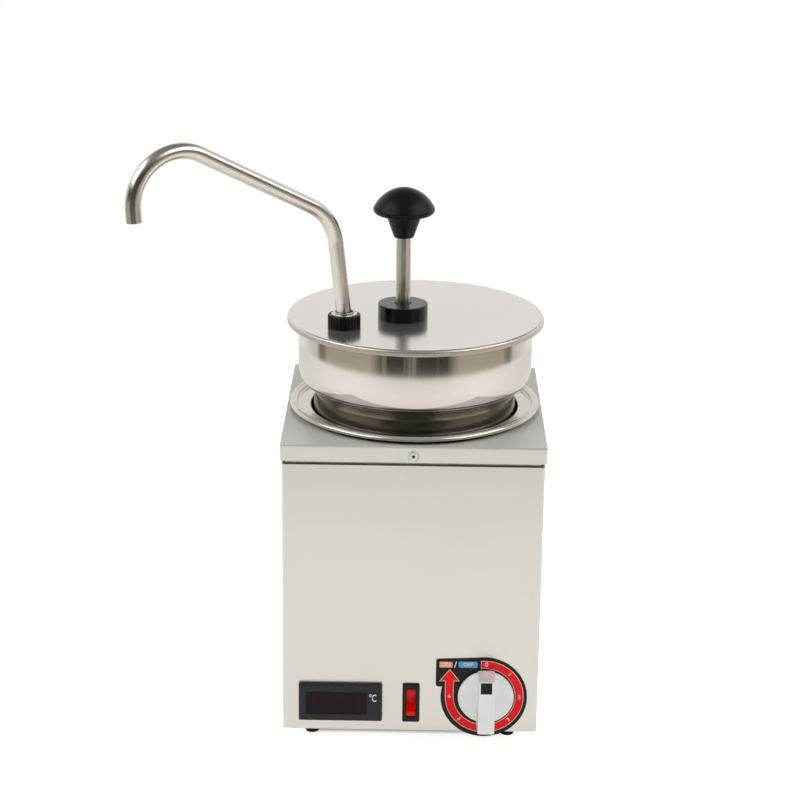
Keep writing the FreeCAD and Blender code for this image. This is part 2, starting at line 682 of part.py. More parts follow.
def spout_line():
    """Centre line: up out of the coupling, leaning run, bend, straight rise and arch; its end and heading."""
    def at(s, z):
        return V(-REACH - s, 0, z)

    rise = math.radians(ARCH_RISE)
    tangent = (ARCH_CENTRE[0] - ARCH_RADIUS * math.sin(rise), ARCH_CENTRE[1] + ARCH_RADIUS * math.cos(rise))
    corners = [(*SPOUT_FOOT, 0), (*SPOUT_LEAN, 30.0), (*SPOUT_BEND, SPOUT_BEND_RADIUS), (*tangent, 0)]
    edges = rounded_edges(corners, lambda p: at(p.x, p.y), closed=False)

    def on_arch(degrees):
        angle = math.radians(degrees)
        return ARCH_CENTRE[0] + ARCH_RADIUS * math.cos(angle), ARCH_CENTRE[1] + ARCH_RADIUS * math.sin(angle)

    end = at(*on_arch(-OUTLET_TUCK))
    edges.append(Part.Arc(at(*tangent), at(*on_arch(60.0)), end).toShape())
    tuck = math.radians(OUTLET_TUCK)
    return edges, end, V(math.sin(tuck), 0, -math.cos(tuck))


def spout_tube():
    """Bent tube that ends in a short straight outlet."""
    edges, end, heading = spout_line()
    start = V(-REACH - SPOUT_FOOT[0], 0, SPOUT_FOOT[1])
    bent = sweep(edges, TUBE, start, V(0, 0, 1)).cut(sweep(edges, TUBE_BORE, start, V(0, 0, 1)))
    outlet = Part.makeCylinder(TUBE, OUTLET_RUN, end, heading)
    outlet = outlet.cut(Part.makeCylinder(TUBE_BORE, OUTLET_RUN, end, heading))
    return in_pump_frame(bent.fuse(outlet))


def spout_ferrule():
    """Bright sleeve on the tube: its flange turns between the coupling and the nut."""
    corners = [(TUBE + 0.02, 360.25, 0), (8.8, 360.25, 0), (8.8, 361.3, 0), (8.2, 361.3, 0), (8.2, 366.8, 0.5),
               (7.6, 366.8, 0), (7.6, 361.6, 0), (TUBE + 0.02, 360.8, 0)]
    return in_pump_frame(turned(corners, -REACH))


def push_knob():
    """Mushroom knob with a tapered neck."""
    dome = Part.Arc(V(0, 0, KNOB_TOP), V(18.6, 0, 457.9), V(KNOB_RADIUS, 0, KNOB_WIDEST)).toShape()
    edge = Part.Arc(V(KNOB_RADIUS, 0, KNOB_WIDEST), V(25.3, 0, 445.2), V(23.2, 0, 443.4)).toShape()
    under = Part.Arc(V(23.2, 0, 443.4), V(18.8, 0, 442.2), V(14.6, 0, 441.0)).toShape()
    rest = [V(14.6, 0, 441.0), V(8.9, 0, 424.9), V(8.3, 0, KNOB_BOTTOM), V(0, 0, KNOB_BOTTOM),
            V(0, 0, KNOB_TOP)]
    edges = [dome, edge, under] + [Part.LineSegment(a, b).toShape() for a, b in zip(rest, rest[1:])]
    solid = Part.Face(Part.Wire(edges)).revolve(V(0, 0, 0), V(0, 0, 1), 360)
    socket = turned(sharp((0, KNOB_BOTTOM - 1), (4.05, KNOB_BOTTOM - 1), (4.05, 426.0), (6.5, 426.0),
                          (6.5, 442.0), (0, 442.0)))
    return in_pump_frame(solid.cut(socket))


def knob_insert():
    """Brass insert moulded into the knob, threaded on the rod."""
    insert = turned([(0, 441.98, 0), (6.48, 441.98, 0.5), (6.48, 426.02, 0.5), (4.02, 426.02, 0),
                     (4.02, 439.5, 0), (0, 439.5, 0)])
    return in_pump_frame(insert)


# Control side

def display_case():
    """Panel thermometer: bezel in front of the sheet and case through its cut-out."""
    face = PANEL_Y - DISPLAY_PROUD
    bezel = plate_y(rounded_rectangle(*DISPLAY_X, *DISPLAY_Z, 1.2), face, PANEL_Y)
    rim = [e for e in bezel.Edges if all(abs(v.Y - face) < 0.01 for v in e.Vertexes)]
    bezel = bezel.makeFillet(1.0, rim)
    case = box(DISPLAY_X[0] + 2.2, DISPLAY_X[1] - 2.2, PANEL_Y - 0.2, PANEL_Y + 56,
               DISPLAY_Z[0] + 2.4, DISPLAY_Z[1] - 2.4)
    recess = box(*WINDOW_X, face - 1, face + 1.2, *WINDOW_Z)
    return fuse_all([bezel, case]).cut(recess)


def display_window():
    face = PANEL_Y - DISPLAY_PROUD
    gap = 0.02
    return box(WINDOW_X[0] + gap, WINDOW_X[1] - gap, face + 0.5, face + 1.2,
               WINDOW_Z[0] + gap, WINDOW_Z[1] - gap)


def display_clips():
    """Wedge clips on the case's sides that pull the bezel against the sheet."""
    inside = PANEL_Y + SHEET
    clips = []
    for side, x in ((-1, DISPLAY_X[0] + 2.2), (1, DISPLAY_X[1] - 2.2)):
        corners = sharp((x, inside), (x + side * 4.5, inside), (x + side * 1.6, inside + 26), (x, inside + 26))
        clips.append(plate_z(corners, 32.0, 46.0))
    return Part.makeCompound(clips)


def switch_body():
    """Snap-in switch: bezel, case, a well for the rocker and bearing holes for its pins."""
    x = sum(SWITCH_X) / 2
    z = ROCKER_Z
    face = PANEL_Y - 2.0
    bezel = plate_y(rounded_rectangle(*SWITCH_X, *SWITCH_Z, 1.5), face, PANEL_Y)
    rim = [e for e in bezel.Edges if all(abs(v.Y - face) < 0.01 for v in e.Vertexes)]
    bezel = bezel.makeFillet(0.8, rim)
    case = box(SWITCH_X[0] + 1.0, SWITCH_X[1] - 1.0, PANEL_Y - 0.2, PANEL_Y + 19,
               SWITCH_Z[0] + 3.2, SWITCH_Z[1] - 3.2)
    blades = [box(x - 3.2, x + 3.2, PANEL_Y + 18, PANEL_Y + 27, middle - 0.4, middle + 0.4)
              for middle in (z - 8.0, z, z + 8.0)]
    half = ROCKER_WIDTH / 2 + 0.3
    well = rod_x(ROCKER_SWEEP + 0.35, x - half, x + half, PANEL_Y + 3.0, z)
    mouth = box(x - half, x + half, face - 1, PANEL_Y + 3.0, z - ROCKER_SWEEP - 0.35, z + ROCKER_SWEEP + 0.35)
    pins = rod_x(1.25, x - half - 1.2, x + half + 1.2, PANEL_Y + 3.0, z)
    return fuse_all([bezel, case] + blades).cut(fuse_all([well, mouth, pins]))


def rocker():
    """Rocker with two shallow facets, round ends about its pivot and a pin each side."""
    x = sum(SWITCH_X) / 2
    half = ROCKER_WIDTH / 2
    facets = plate_x(sharp((-5.6, -14.0), (-3.9, 0), (-5.6, 14.0), (4.0, 14.0), (4.0, -14.0)), -half, half)
    body = facets.common(rod_x(ROCKER_SWEEP, -half, half, 0, 0))
    body = fuse_all([body, rod_x(1.2, -half - 1.0, half + 1.0, 0, 0)])
    body.rotate(V(0, 0, 0), V(1, 0, 0), -ROCKER_REST)
    body.translate(V(x, PANEL_Y + 3.0, ROCKER_Z))
    return body


def plate_x(corners, x0, x1):
    wire = Part.Wire(rounded_edges(corners, lambda p: V(x0, p.x, p.y)))
    return Part.Face(wire).extrude(V(x1 - x0, 0, 0))


def dial_plate():
    """Flat plate behind the knob: a disc that hangs past the wrap's lower edge, with a square tab."""
    disc = rod_y(PLATE_RADIUS, PANEL_Y - PLATE_SHEET, PANEL_Y, PLATE_X, PLATE_Z)
    tab = plate_y([(21.7, 54.9, 2.0), (40.0, 54.9, 0), (62.0, 60.0, 0), (62.0, 81.9, 0), (21.7, 80.2, 2.0)],
                  PANEL_Y - PLATE_SHEET, PANEL_Y)
    holes = [rod_y(5.3, PANEL_Y - 2, PANEL_Y + 1, DIAL_X, DIAL_Z)]
    holes += [rod_y(2.1, PANEL_Y - 2, PANEL_Y + 1, x, DIAL_Z) for x in THERMOSTAT_SCREWS]
    return cut_all(fuse_all([disc, tab]), holes)


def thermostat_body():
    """Capillary thermostat behind the panel, with its bush through the sheet and two blade terminals."""
    inside = PANEL_Y + SHEET
    outline = rounded_rectangle(DIAL_X - 18, DIAL_X + 18, DIAL_Z - 17, DIAL_Z + 17, 3.0)
    case = plate_y(outline, inside, inside + 26)
    bush = rod_y(5.0, PANEL_Y - 1.6, inside + 1, DIAL_X, DIAL_Z)
    blades = [box(x - 0.4, x + 0.4, inside + 25, inside + 34, DIAL_Z - 12, DIAL_Z - 6)
              for x in (DIAL_X - 9.0, DIAL_X + 9.0)]
    bore = rod_y(3.0 + RUNNING, PANEL_Y - 2, PANEL_Y + 14, DIAL_X, DIAL_Z)
    holes = [rod_y(1.55, inside - 1, inside + 6, x, DIAL_Z) for x in THERMOSTAT_SCREWS]
    return cut_all(fuse_all([case, bush] + blades), [bore] + holes)


def thermostat_screws():
    screw = pan_head(3.2, 1.3, 1.5, 6.0, 1.1)
    face = PANEL_Y - PLATE_SHEET
    return Part.makeCompound([placed(screw, V(1, 0, 0), 90, x, face, DIAL_Z) for x in THERMOSTAT_SCREWS])


def thermostat_shaft():
    """Turning shaft, with the flat that drives the knob."""
    shaft = rod_y(3.0, PANEL_Y - 17.0, PANEL_Y + 13.8, DIAL_X, DIAL_Z)
    return shaft.cut(box(DIAL_X - 4, DIAL_X + 4, PANEL_Y - 18, PANEL_Y - 5, DIAL_Z + 1.6, DIAL_Z + 4))


def thermostat_bulb():
    """Sensing bulb upright on the tank wall and the capillary that joins it to the thermostat."""
    x = DIAL_X
    y = -math.sqrt((TANK_RADIUS + SHEET + 3.05) ** 2 - x ** 2)
    start = V(x, -94.0, DIAL_Z + 17.0)
    corners = [(-94.0, start.z, 0), (-94.0, 92.0, 9.0), (y, 118.0, 9.0), (y, 151.0, 0)]
    edges = rounded_edges(corners, lambda p: V(x, p.x, p.y), closed=False)
    capillary = sweep(edges, 0.9, start, V(0, 0, 1))
    bulb = turned([(0, 150, 0), (1.4, 150, 0), (3.0, 153, 1.0), (3.0, 226, 1.5), (0, 226, 0)], x, y)
    return capillary.fuse(bulb)


def bulb_clips():
    """Two straps that hold the bulb against the tank."""
    x = DIAL_X
    y = -math.sqrt((TANK_RADIUS + SHEET + 3.05) ** 2 - x ** 2)
    wall = TANK_RADIUS + SHEET
    heading = math.degrees(math.atan2(y, x))
    clips = []
    for z0 in (165.0, 208.0):
        tab = turned(sharp((wall, z0), (wall + 0.8, z0), (wall + 0.8, z0 + 7), (wall, z0 + 7)), angle=12.0)
        tab.rotate(V(0, 0, 0), V(0, 0, 1), heading - 6.0)
        loop = rod(3.9, z0, z0 + 7, x, y).cut(rod(wall, z0 - 1, z0 + 8))
        clips.append(tab.fuse(loop).cut(rod(3.02, z0 - 1, z0 + 8, x, y)).removeSplitter())
    return Part.makeCompound(clips)


def control_knob():
    """Oven type knob: thin disc, upright grip bar with drafted flanks, hub bored for the shaft."""
    back = PANEL_Y - 2.2
    face = PANEL_Y - DIAL_FRONT
    front = PANEL_Y - GRIP_FRONT
    corners = [(0, face, 0), (DIAL_RADIUS, face, 0.9), (DIAL_RADIUS, back, 0), (0, back, 0)]
    disc = turned_y(corners, DIAL_X, DIAL_Z)
    outlines = []
    for width, z in ((GRIP_WIDTH_DOWN, -GRIP_DOWN), (GRIP_WIDTH_UP, GRIP_UP)):
        half = width / 2
        foot = half + 0.9
        section = [(-foot, face + 0.5, 0), (-half, front, 0.9), (half, front, 0.9), (foot, face + 0.5, 0)]
        outlines.append(Part.Wire(rounded_edges(section, lambda p: V(DIAL_X + p.x, p.y, DIAL_Z + z))))
    grip = Part.makeLoft(outlines, True, True)
    middle = DIAL_Z + (GRIP_UP - GRIP_DOWN) / 2
    grip = grip.common(rod_y((GRIP_UP + GRIP_DOWN) / 2 + 0.5, front - 1, back, DIAL_X, middle))
    pocket = index_block(0.0)
    bore = rod_y(3.02, PANEL_Y - 17.2, back + 1, DIAL_X, DIAL_Z)
    flat = box(DIAL_X - 4, DIAL_X + 4, PANEL_Y - 18, PANEL_Y - 5, DIAL_Z + 1.62, DIAL_Z + 4)
    return cut_all(fuse_all([disc, grip]), [bore.cut(flat), pocket])


def index_block(inset):
    """Block at the grip's upper front corner that holds the black index."""
    front = PANEL_Y - GRIP_FRONT
    top = DIAL_Z + GRIP_UP
    return box(DIAL_X - 5.2 + inset, DIAL_X + 4.4 - inset, front - 1 + inset, front + 2.0 - inset,
               top - 11.1 + inset, top - 0.7 - inset)


def knob_index():
    """Black index let into the grip's face."""
    front = PANEL_Y - GRIP_FRONT
    return index_block(0.02).cut(box(0, 120, front - 5, front + 0.02, 0, 120))


# Inside and rear

def terminal_block():
    """Five way terminal block on the cabinet's floor, with a pair of wells for each way."""
    z0 = WRAP_BOTTOM + SHEET + BASE_SHEET
    x0, y0 = -30.0, 52.0
    foot = box(x0, x0 + 60, y0, y0 + 22, z0, z0 + 9)
    body = box(x0 + 4, x0 + 56, y0 + 4, y0 + 18, z0 + 8, z0 + 17)
    block = fuse_all([foot, body])
    wells = []
    for way in range(5):
        x = x0 + 10 + 10 * way
        wells += [rod(2.4, z0 + 9, z0 + 18, x, y0 + 8), rod(2.4, z0 + 9, z0 + 18, x, y0 + 14)]
        wells.append(rod_y(2.0, y0 - 1, y0 + 3, x, z0 + 5))
    return cut_all(block, wells)


def gland_body():
    """Cord gland: hexagon outside the panel, thread through it, clamping fingers under the nut."""
    hexes = plate_z(hexagon(22.0), 0, 5)
    body = fuse_all([hexes, rod(8.0, -9, 0.5), rod(7.6, 4.5, 11)]).cut(rod(6.0, -10, 12))
    return placed(body, V(1, 0, 0), -90, GLAND_X, REAR_Y, GLAND_Z)


def gland_nut():
    """Domed nut that squeezes the seal on the cord."""
    dome = turned([(7.62, 5, 0), (10.4, 5, 0), (10.4, 18, 4.5), (4.6, 18, 0), (4.6, 16.5, 0), (6.2, 14.5, 0),
                   (6.2, 11.2, 0), (7.62, 11.2, 0)])
    return placed(dome, V(1, 0, 0), -90, GLAND_X, REAR_Y, GLAND_Z)


def gland_seal():
    seal = turned(sharp((CORD_HOLE, 0), (5.98, 0), (5.98, 14.0), (CORD_HOLE, 15.0)))
    return placed(seal, V(1, 0, 0), -90, GLAND_X, REAR_Y, GLAND_Z)


def gland_locknut():
    nut = plate_z(hexagon(22.0), -SHEET - 4, -SHEET).cut(rod(8.02, -10, 1))
    return placed(nut, V(1, 0, 0), -90, GLAND_X, REAR_Y, GLAND_Z)


PARTS = [
    body_wrap, rear_panel, base_plate, support_frame, top_cover, cover_screws, rear_screws, base_screws,
    feet, foot_screws, foot_nuts, water_tank, heater_plate, heating_element, heater_clamp, heater_nut,
    thermal_cutout, adapter_ring, rim_gasket, sauce_pan, lid, lid_locating_ring, pump_barrel, barrel_gasket,
    pump_collar, rod_bush, plunger_rod, piston, piston_seal, piston_nut, return_spring, valve_body, check_balls,
    ball_stops, riser_tube, riser_coupling, spout_seal, spout_nut, spout_tube, spout_ferrule, push_knob,
    knob_insert, display_case, display_window, display_clips, switch_body, rocker, dial_plate, thermostat_body,
    thermostat_screws, thermostat_shaft, thermostat_bulb, bulb_clips, control_knob, knob_index, terminal_block,
    gland_body, gland_nut, gland_seal, gland_locknut,
]


def main():
    os.makedirs("parts", exist_ok=True)
    for make in PARTS:
        shape = make()
        state = "valid" if shape.isValid() else "NOT VALID"
        print(f"{make.__name__:20s} solids {len(shape.Solids)} {state} volume {shape.Volume:.0f}")
        shape.exportStep(f"parts/{make.__name__}.step")


main()
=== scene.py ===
import json
import math

import bmesh
import bpy
from mathutils import Matrix, Vector


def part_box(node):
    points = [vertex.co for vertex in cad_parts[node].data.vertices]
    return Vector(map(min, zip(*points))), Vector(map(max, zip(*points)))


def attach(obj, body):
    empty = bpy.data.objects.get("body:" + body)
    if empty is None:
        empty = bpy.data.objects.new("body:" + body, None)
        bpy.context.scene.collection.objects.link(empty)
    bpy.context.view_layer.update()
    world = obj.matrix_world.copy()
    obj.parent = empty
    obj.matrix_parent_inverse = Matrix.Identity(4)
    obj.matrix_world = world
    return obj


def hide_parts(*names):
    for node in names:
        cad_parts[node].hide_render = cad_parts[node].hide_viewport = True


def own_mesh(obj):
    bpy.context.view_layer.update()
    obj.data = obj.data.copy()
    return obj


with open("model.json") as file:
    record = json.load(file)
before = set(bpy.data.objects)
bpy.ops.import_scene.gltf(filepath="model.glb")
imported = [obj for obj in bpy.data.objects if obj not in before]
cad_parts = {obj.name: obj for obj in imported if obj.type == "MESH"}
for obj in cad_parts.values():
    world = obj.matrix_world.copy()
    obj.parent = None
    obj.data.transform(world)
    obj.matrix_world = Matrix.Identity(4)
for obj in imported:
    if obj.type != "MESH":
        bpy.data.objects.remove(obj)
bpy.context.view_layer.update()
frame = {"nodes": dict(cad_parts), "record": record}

NODES = frame["nodes"]

# Lengths are in the frame's metres, or in millimetres where a comment says so. MM is one millimetre.
MM = 0.001

# Camera, from the perspective of the cover, the ring, the lid and the cabinet's corners. Its lens and its
# sensor are in millimetres.
CAMERA_PLACE = Vector((0.00013, -1.76615, 0.86634))
CAMERA_PITCH = math.radians(18.518)
CAMERA_YAW = math.radians(-0.409)
CAMERA_ROLL = math.radians(0.713)
CAMERA_LENS = 96.71
CAMERA_SENSOR = 36.0

# The table. For the camera its glow grows between two distances inside the cabinet's edge, so it stays low
# under the cabinet as a painted contact shadow; in the bright steel it grows between two distances from the
# middle.
TABLE_RADIUS = 1.11
TABLE_SIDES = 96
TABLE_GRAIN = 0.2 * MM
GLOW_STRENGTH = (0.1, 0.82)
GLOW_INSET = (26 * MM, 18 * MM)
MIRROR_STRENGTH = (0.10, 0.18)
MIRROR_REACH = (0.3, 0.9)

# The room's colours, and those of its low part by degrees to either side of the way the front faces
ROOM_WHITE = (0.92, 0.905, 0.885)
ROOM_CEILING = (0.24, 0.235, 0.225)
ROOM_UNLIT = (0.06, 0.06, 0.052)
ROOM_BROWN = (0.46, 0.415, 0.33)
ROOM_DARK = (0.05, 0.052, 0.045)
ROOM_STREAK = (0.25, 0.225, 0.18)
ROOM_ROUND = ((0, ROOM_DARK), (31, ROOM_DARK), (44, ROOM_BROWN), (95, ROOM_BROWN), (100, ROOM_STREAK),
              (106, ROOM_STREAK), (112, (0.7, 0.68, 0.63)), (140, ROOM_WHITE))

# Where one part of the room gives way to the next: two by turn, then two by the steepness of the view
PATCHES_END = (math.radians(30), math.radians(40))
UNLIT_END = (math.radians(78), math.radians(125))
LOW_ROOM_END = (-0.08, 0.02)
WALL_END = (0.45, 0.65)

# The brown patches in the room's dark middle
PATCH_SCALE = (7.0, 7.0, 1.3)
PATCH_NOISE = (0.5, 0.68)
PATCH_STRENGTH = 0.6

# Lamps: a softbox and a fill to either side, with their places as (y, z)
LAMP_SIDE = 1.6
LAMP_TARGET = (0, 0, 0.3)
SOFTBOX_PLACE = (-0.58, 1.8)
SOFTBOX_SIZE = (2.4, 1.4)
SOFTBOX_WATTS = 19.0
FILL_PLACE = (-0.75, 1.7)
FILL_SIZE = (1.5, 0.9)
FILL_WATTS = 16.0

# Finishes that change over one solid. The colours of the cover, the lid, the pan and the screws change as
# painted light and shade; the ring changes only its metallic. Those of the cover and the lid change at depths
# below their tops, the ring's at distances inside its edge, the pan's between two heights and the screws'
# between two radii.
# Painted light and shade on the cover: one sheet, with a darker colour on its top and a lighter one on its
# skirt
COVER_DARKENED_TOP = (0.545, 0.53, 0.505)
COVER_LIGHTENED_SKIRT = (0.90, 0.885, 0.84)
COVER_FOLD = (2.2 * MM, 0.2 * MM)
LID_FACE = (0.74, 0.71, 0.69)
# The lid's edge colour is a painted reflection: darker and browner than its face
LID_SHADED_EDGE = (0.62, 0.59, 0.53)
LID_FOLD = (2.2 * MM, 0.2 * MM)
RING_EDGE = (4.6 * MM, 2.0 * MM)
PAN_BRIGHT = (0.69, 0.665, 0.62)
# Below the shoulder the pan's dark colour is a painted reflection, not a darker steel
PAN_SHADED_NECK = (0.22, 0.205, 0.17)
PAN_SHADE_AND_SATIN_END = (0.289, 0.294)
SCREW_BRIGHT = (0.9, 0.89, 0.86)
# The sockets' shade is painted: a dark colour within a small radius of each screw's centre
SCREW_PAINTED_SHADE = (0.02, 0.02, 0.02)
SCREW_SHADE_RADII = (1.0 * MM, 1.6 * MM)

# The rocker's reds, by height from its foot at 0 to its head at 1: painted light and shade, lighter towards
# both ends
ROCKER_SHADED_REDS = ((0.04, (0.66, 0.03, 0.015)), (0.17, (0.72, 0.02, 0.01)), (0.26, (0.50, 0.002, 0.001)),
               (0.66, (0.48, 0.002, 0.002)), (0.84, (0.9, 0.012, 0.03)), (0.97, (0.8, 0.012, 0.03)))

# Depth of the grain that the finishes show as a bump
GRAIN_DEPTH = 0.03 * MM

# Facets of a turned form
TURN_STEPS = 192

# The pan's section, millimetres: its shoulder is a quarter of an ellipse
PAN_SHEET = 1.0
PAN_WIDE = 100.4
PAN_SHOULDER = 293.3
SHOULDER_OUT = 10.5
SHOULDER_UP = 18.0
PAN_NECK = (87.6, 271.0)
PAN_WAIST = (85.6, 285.0)
PAN_FOOT = 86.0
FOOT_ROUND = 12.0
NECK_ROUND = 6.0
WAIST_ROUND = 1.5
LEDGE_ROUND = 1.9
LEDGE_ROUND_INSIDE = 2.5
RIM_DEPTH = 3.4
RIM_ROUND = 1.6
RIM_FILLET = 0.6
MOUTH_ROUND = 0.7

# A short step where the pan's straight wall begins, millimetres: it keeps the curve's shading on the curve
WALL_STEP = 0.5

# The spout's centre line, millimetres: (distance from the riser, height). The arch's rise and the outlet's
# tuck are in degrees.
TUBE_RADIUS = 6.35
TUBE_BORE = 5.45
SPOUT_FOOT = (0.0, 354.3)
SPOUT_LEAN = (0.0, 362.2)
SPOUT_LEAN_RADIUS = 30.0
SPOUT_BEND = (11.0, 449.3)
SPOUT_BEND_RADIUS = 45.0
ARCH_CENTRE = (149.9, 477.3)
ARCH_RADIUS = 40.3
ARCH_RISE = 27.93
OUTLET_TUCK = 3.5
OUTLET_RUN = 9.2

# The ferrule in the spout's nut, millimetres: radii, then heights above its foot
FERRULE_BORE = 6.37
FERRULE_INSIDE = 7.6
FERRULE_OUT = 8.2
FERRULE_FLANGE = 8.8
BORE_TOP = 0.55
FLANGE_TOP = 1.05
FLOOR_EDGE = 1.35

# The ferrule's cup, millimetres: its radius, its edge, its gap over the nut and heights above its underside
CUP_RADIUS = 10.8
CUP_EDGE = 0.3
CUP_GAP = 0.1
CUP_BRIM = 0.4
CUP_TOP = 0.5

# The return spring, millimetres
SPRING_TURNS = 8
SPRING_WIRE = 1.76

# Faces that the printing lies on, and the thickness of its layers
PLATE_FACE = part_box("dial_plate")[0].y
CASE_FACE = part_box("display_case")[0].y
UNDER_INK = 0.05 * MM
INK = 0.09 * MM
OVER_INK = 0.13 * MM

# The built-in font: its capitals, and a slight boldening, as parts of the font size
FONT_CAPITALS = 0.7
FONT_BOLD = 0.012

# The dial's ring and arrow, millimetres: (x, z) as seen from the control side
RING_X = 63.2
RING_Z = 45.9
RING_INSIDE = 26.6
RING_OUTSIDE = 33.1
RING_START_X = 60.2
ARROW_STEM_TOP = 60.5
ARROW_HEAD_HALF = 7.8
ARROW_TIP_Z = 70.5
OUTLINE = 0.45

# How far the arrow head's corners move out for each millimetre of outline
BARB_MITRE = 2.2
TIP_MITRE = 1.6

# The digits 0 to 6 on the ring: degrees clockwise from its top, and lean in degrees
DIGITS = ((2.5, 0.0), (45.0, 45.0), (90.0, 0.0), (135.0, -45.0), (180.0, 0.0), (225.0, 45.0), (270.0, 0.0))
DIGIT_HEIGHT = 3.3
ZERO_HEIGHT = 1.25 * DIGIT_HEIGHT

# The labels (x0, x1, z0, z1) and signs, millimetres
ON_LABEL = (24.6, 35.6, 72.7, 78.1)
ON_ROUND = 0.8
OFF_LABEL = (40.8, 57.1, 72.7, 78.4)
OFF_ROUND = 1.4
LABEL_HEIGHT = 3.4
SLASH_PLACE = (38.2, 75.4)
SLASH_HEIGHT = 5.6
DEGREE_PLACE = (-31.7, 44.3)
DEGREE_HEIGHT = 6.6
DEGREE_WIDTH = 0.62


# Node trees

def shader_of(material):
    return material.node_tree.nodes["Principled BSDF"]


def new_material(name, colour, roughness, metallic=0.0, **sockets):
    """A material with one Principled shader; sockets are further inputs by name."""
    material = bpy.data.materials.new(name)
    material.use_nodes = True
    inputs = shader_of(material).inputs
    inputs["Base Color"].default_value = (*colour, 1.0)
    inputs["Roughness"].default_value = roughness
    inputs["Metallic"].default_value = metallic
    for socket, value in sockets.items():
        inputs[socket.replace("_", " ")].default_value = value
    return material


def feed(material, socket, value):
    """Link a value to one input of the material's shader."""
    material.node_tree.links.new(value, shader_of(material).inputs[socket])


def add_node(tree, kind, **settings):
    made = tree.nodes.new(kind)
    for name, value in settings.items():
        setattr(made, name, value)
    return made


def maths(tree, operation, a, b=None):
    """One Math node; a and b are sockets or numbers."""
    made = add_node(tree, "ShaderNodeMath", operation=operation)
    for socket, value in zip(made.inputs, (a, b)):
        if isinstance(value, (int, float)):
            socket.default_value = value
        elif value is not None:
            tree.links.new(value, socket)
    return made.outputs[0]


def hypotenuse(tree, a, b):
    """The distance that a and b make when they stand square to each other."""
    squares = maths(tree, "ADD", maths(tree, "MULTIPLY", a, a), maths(tree, "MULTIPLY", b, b))
    return maths(tree, "SQRT", squares)


def turn_from_front(tree, x, y):
    """Radians round an upright axis, from the way the front faces."""
    return maths(tree, "ARCTAN2", x, maths(tree, "MULTIPLY", y, -1.0))


def place_of(tree):
    """Coordinates fixed to the object, in metres."""
    return add_node(tree, "ShaderNodeTexCoord").outputs["Object"]


def axes_of(tree, vector):
    """The x, y and z of a vector."""
    split = add_node(tree, "ShaderNodeSeparateXYZ")
    tree.links.new(vector, split.inputs[0])
    return split.outputs


def stretched(tree, vector, scale):
    """A vector scaled by axis, so that a noise runs in streaks along the axis with the small scale."""
    mapping = add_node(tree, "ShaderNodeMapping")
    mapping.inputs["Scale"].default_value = scale
    tree.links.new(vector, mapping.inputs["Vector"])
    return mapping.outputs[0]


def spun(tree, across, along, centre=(0.0, 0.0)):
    """Coordinates round an upright axis, so that a noise runs in rings, as on a spun or turned face."""
    x, y, z = axes_of(tree, place_of(tree))
    x = maths(tree, "SUBTRACT", x, centre[0])
    y = maths(tree, "SUBTRACT", y, centre[1])
    joined = add_node(tree, "ShaderNodeCombineXYZ")
    scaled = ((hypotenuse(tree, x, y), across), (z, across), (turn_from_front(tree, x, y), along))
    for socket, (value, scale) in zip(joined.inputs, scaled):
        tree.links.new(maths(tree, "MULTIPLY", value, scale), socket)
    return joined.outputs[0]


def noise(tree, vector, scale=1.0, detail=4.0, rough=0.5):
    made = add_node(tree, "ShaderNodeTexNoise")
    made.inputs["Scale"].default_value = scale
    made.inputs["Detail"].default_value = detail
    made.inputs["Roughness"].default_value = rough
    tree.links.new(vector, made.inputs["Vector"])
    return made.outputs["Fac"]


def remapped(tree, value, low, high, from_low=0.3, from_high=0.7):
    """A value that goes from low to high while the given one goes from from_low to from_high."""
    made = add_node(tree, "ShaderNodeMapRange")
    made.inputs["From Min"].default_value = from_low
    made.inputs["From Max"].default_value = from_high
    made.inputs["To Min"].default_value = low
    made.inputs["To Max"].default_value = high
    tree.links.new(value, made.inputs["Value"])
    return made.outputs[0]


def mixed(tree, factor, a, b):
    """Colour a at factor 0 and colour b at factor 1; each is a socket or a colour."""
    made = add_node(tree, "ShaderNodeMix", data_type="RGBA")
    tree.links.new(factor, made.inputs["Factor"])
    for socket, value in ((made.inputs["A"], a), (made.inputs["B"], b)):
        if isinstance(value, tuple):
            socket.default_value = (*value, 1.0)
        else:
            tree.links.new(value, socket)
    return made.outputs["Result"]


def colour_ramp(tree, value, stops):
    """Colours along a value; stops are (position, colour)."""
    ramp = add_node(tree, "ShaderNodeValToRGB")
    elements = ramp.color_ramp.elements
    while len(elements) < len(stops):
        elements.new(0.5)
    for element, (position, colour) in zip(elements, stops):
        element.position = position
        element.color = (*colour, 1.0)
    tree.links.new(value, ramp.inputs[0])
    return ramp.outputs[0]


def two_tones(material, value, first, second):
    """The first tone where a noise is low and the second where it is high, with a soft change between."""
    feed(material, "Base Color", colour_ramp(material.node_tree, value, ((0.35, first), (0.65, second))))


def two_colours(material, value, first, second):
    """The first colour where a value is 0 and the second where it is 1."""
    feed(material, "Base Color", colour_ramp(material.node_tree, value, ((0.0, first), (1.0, second))))


def vary_roughness(material, value, low, high):
    feed(material, "Roughness", remapped(material.node_tree, value, low, high))


def by_height(material, below, above, start, end):
    """A value that goes from below to above between two heights, metres."""
    tree = material.node_tree
    return remapped(tree, axes_of(tree, place_of(tree))[2], below, above, start, end)


def change_by_height(material, start, end, below, above, **sockets):
    """Colour from below to above between two heights, and further inputs with two values of their own."""
    two_colours(material, by_height(material, 0.0, 1.0, start, end), below, above)
    for socket, values in sockets.items():
        feed(material, socket, by_height(material, *values, start, end))


def add_bump(material, value, strength, distance=GRAIN_DEPTH):
    tree = material.node_tree
    bump = add_node(tree, "ShaderNodeBump")
    bump.inputs["Strength"].default_value = strength
    bump.inputs["Distance"].default_value = distance
    tree.links.new(value, bump.inputs["Height"])
    feed(material, "Normal", bump.outputs[0])


# Metals

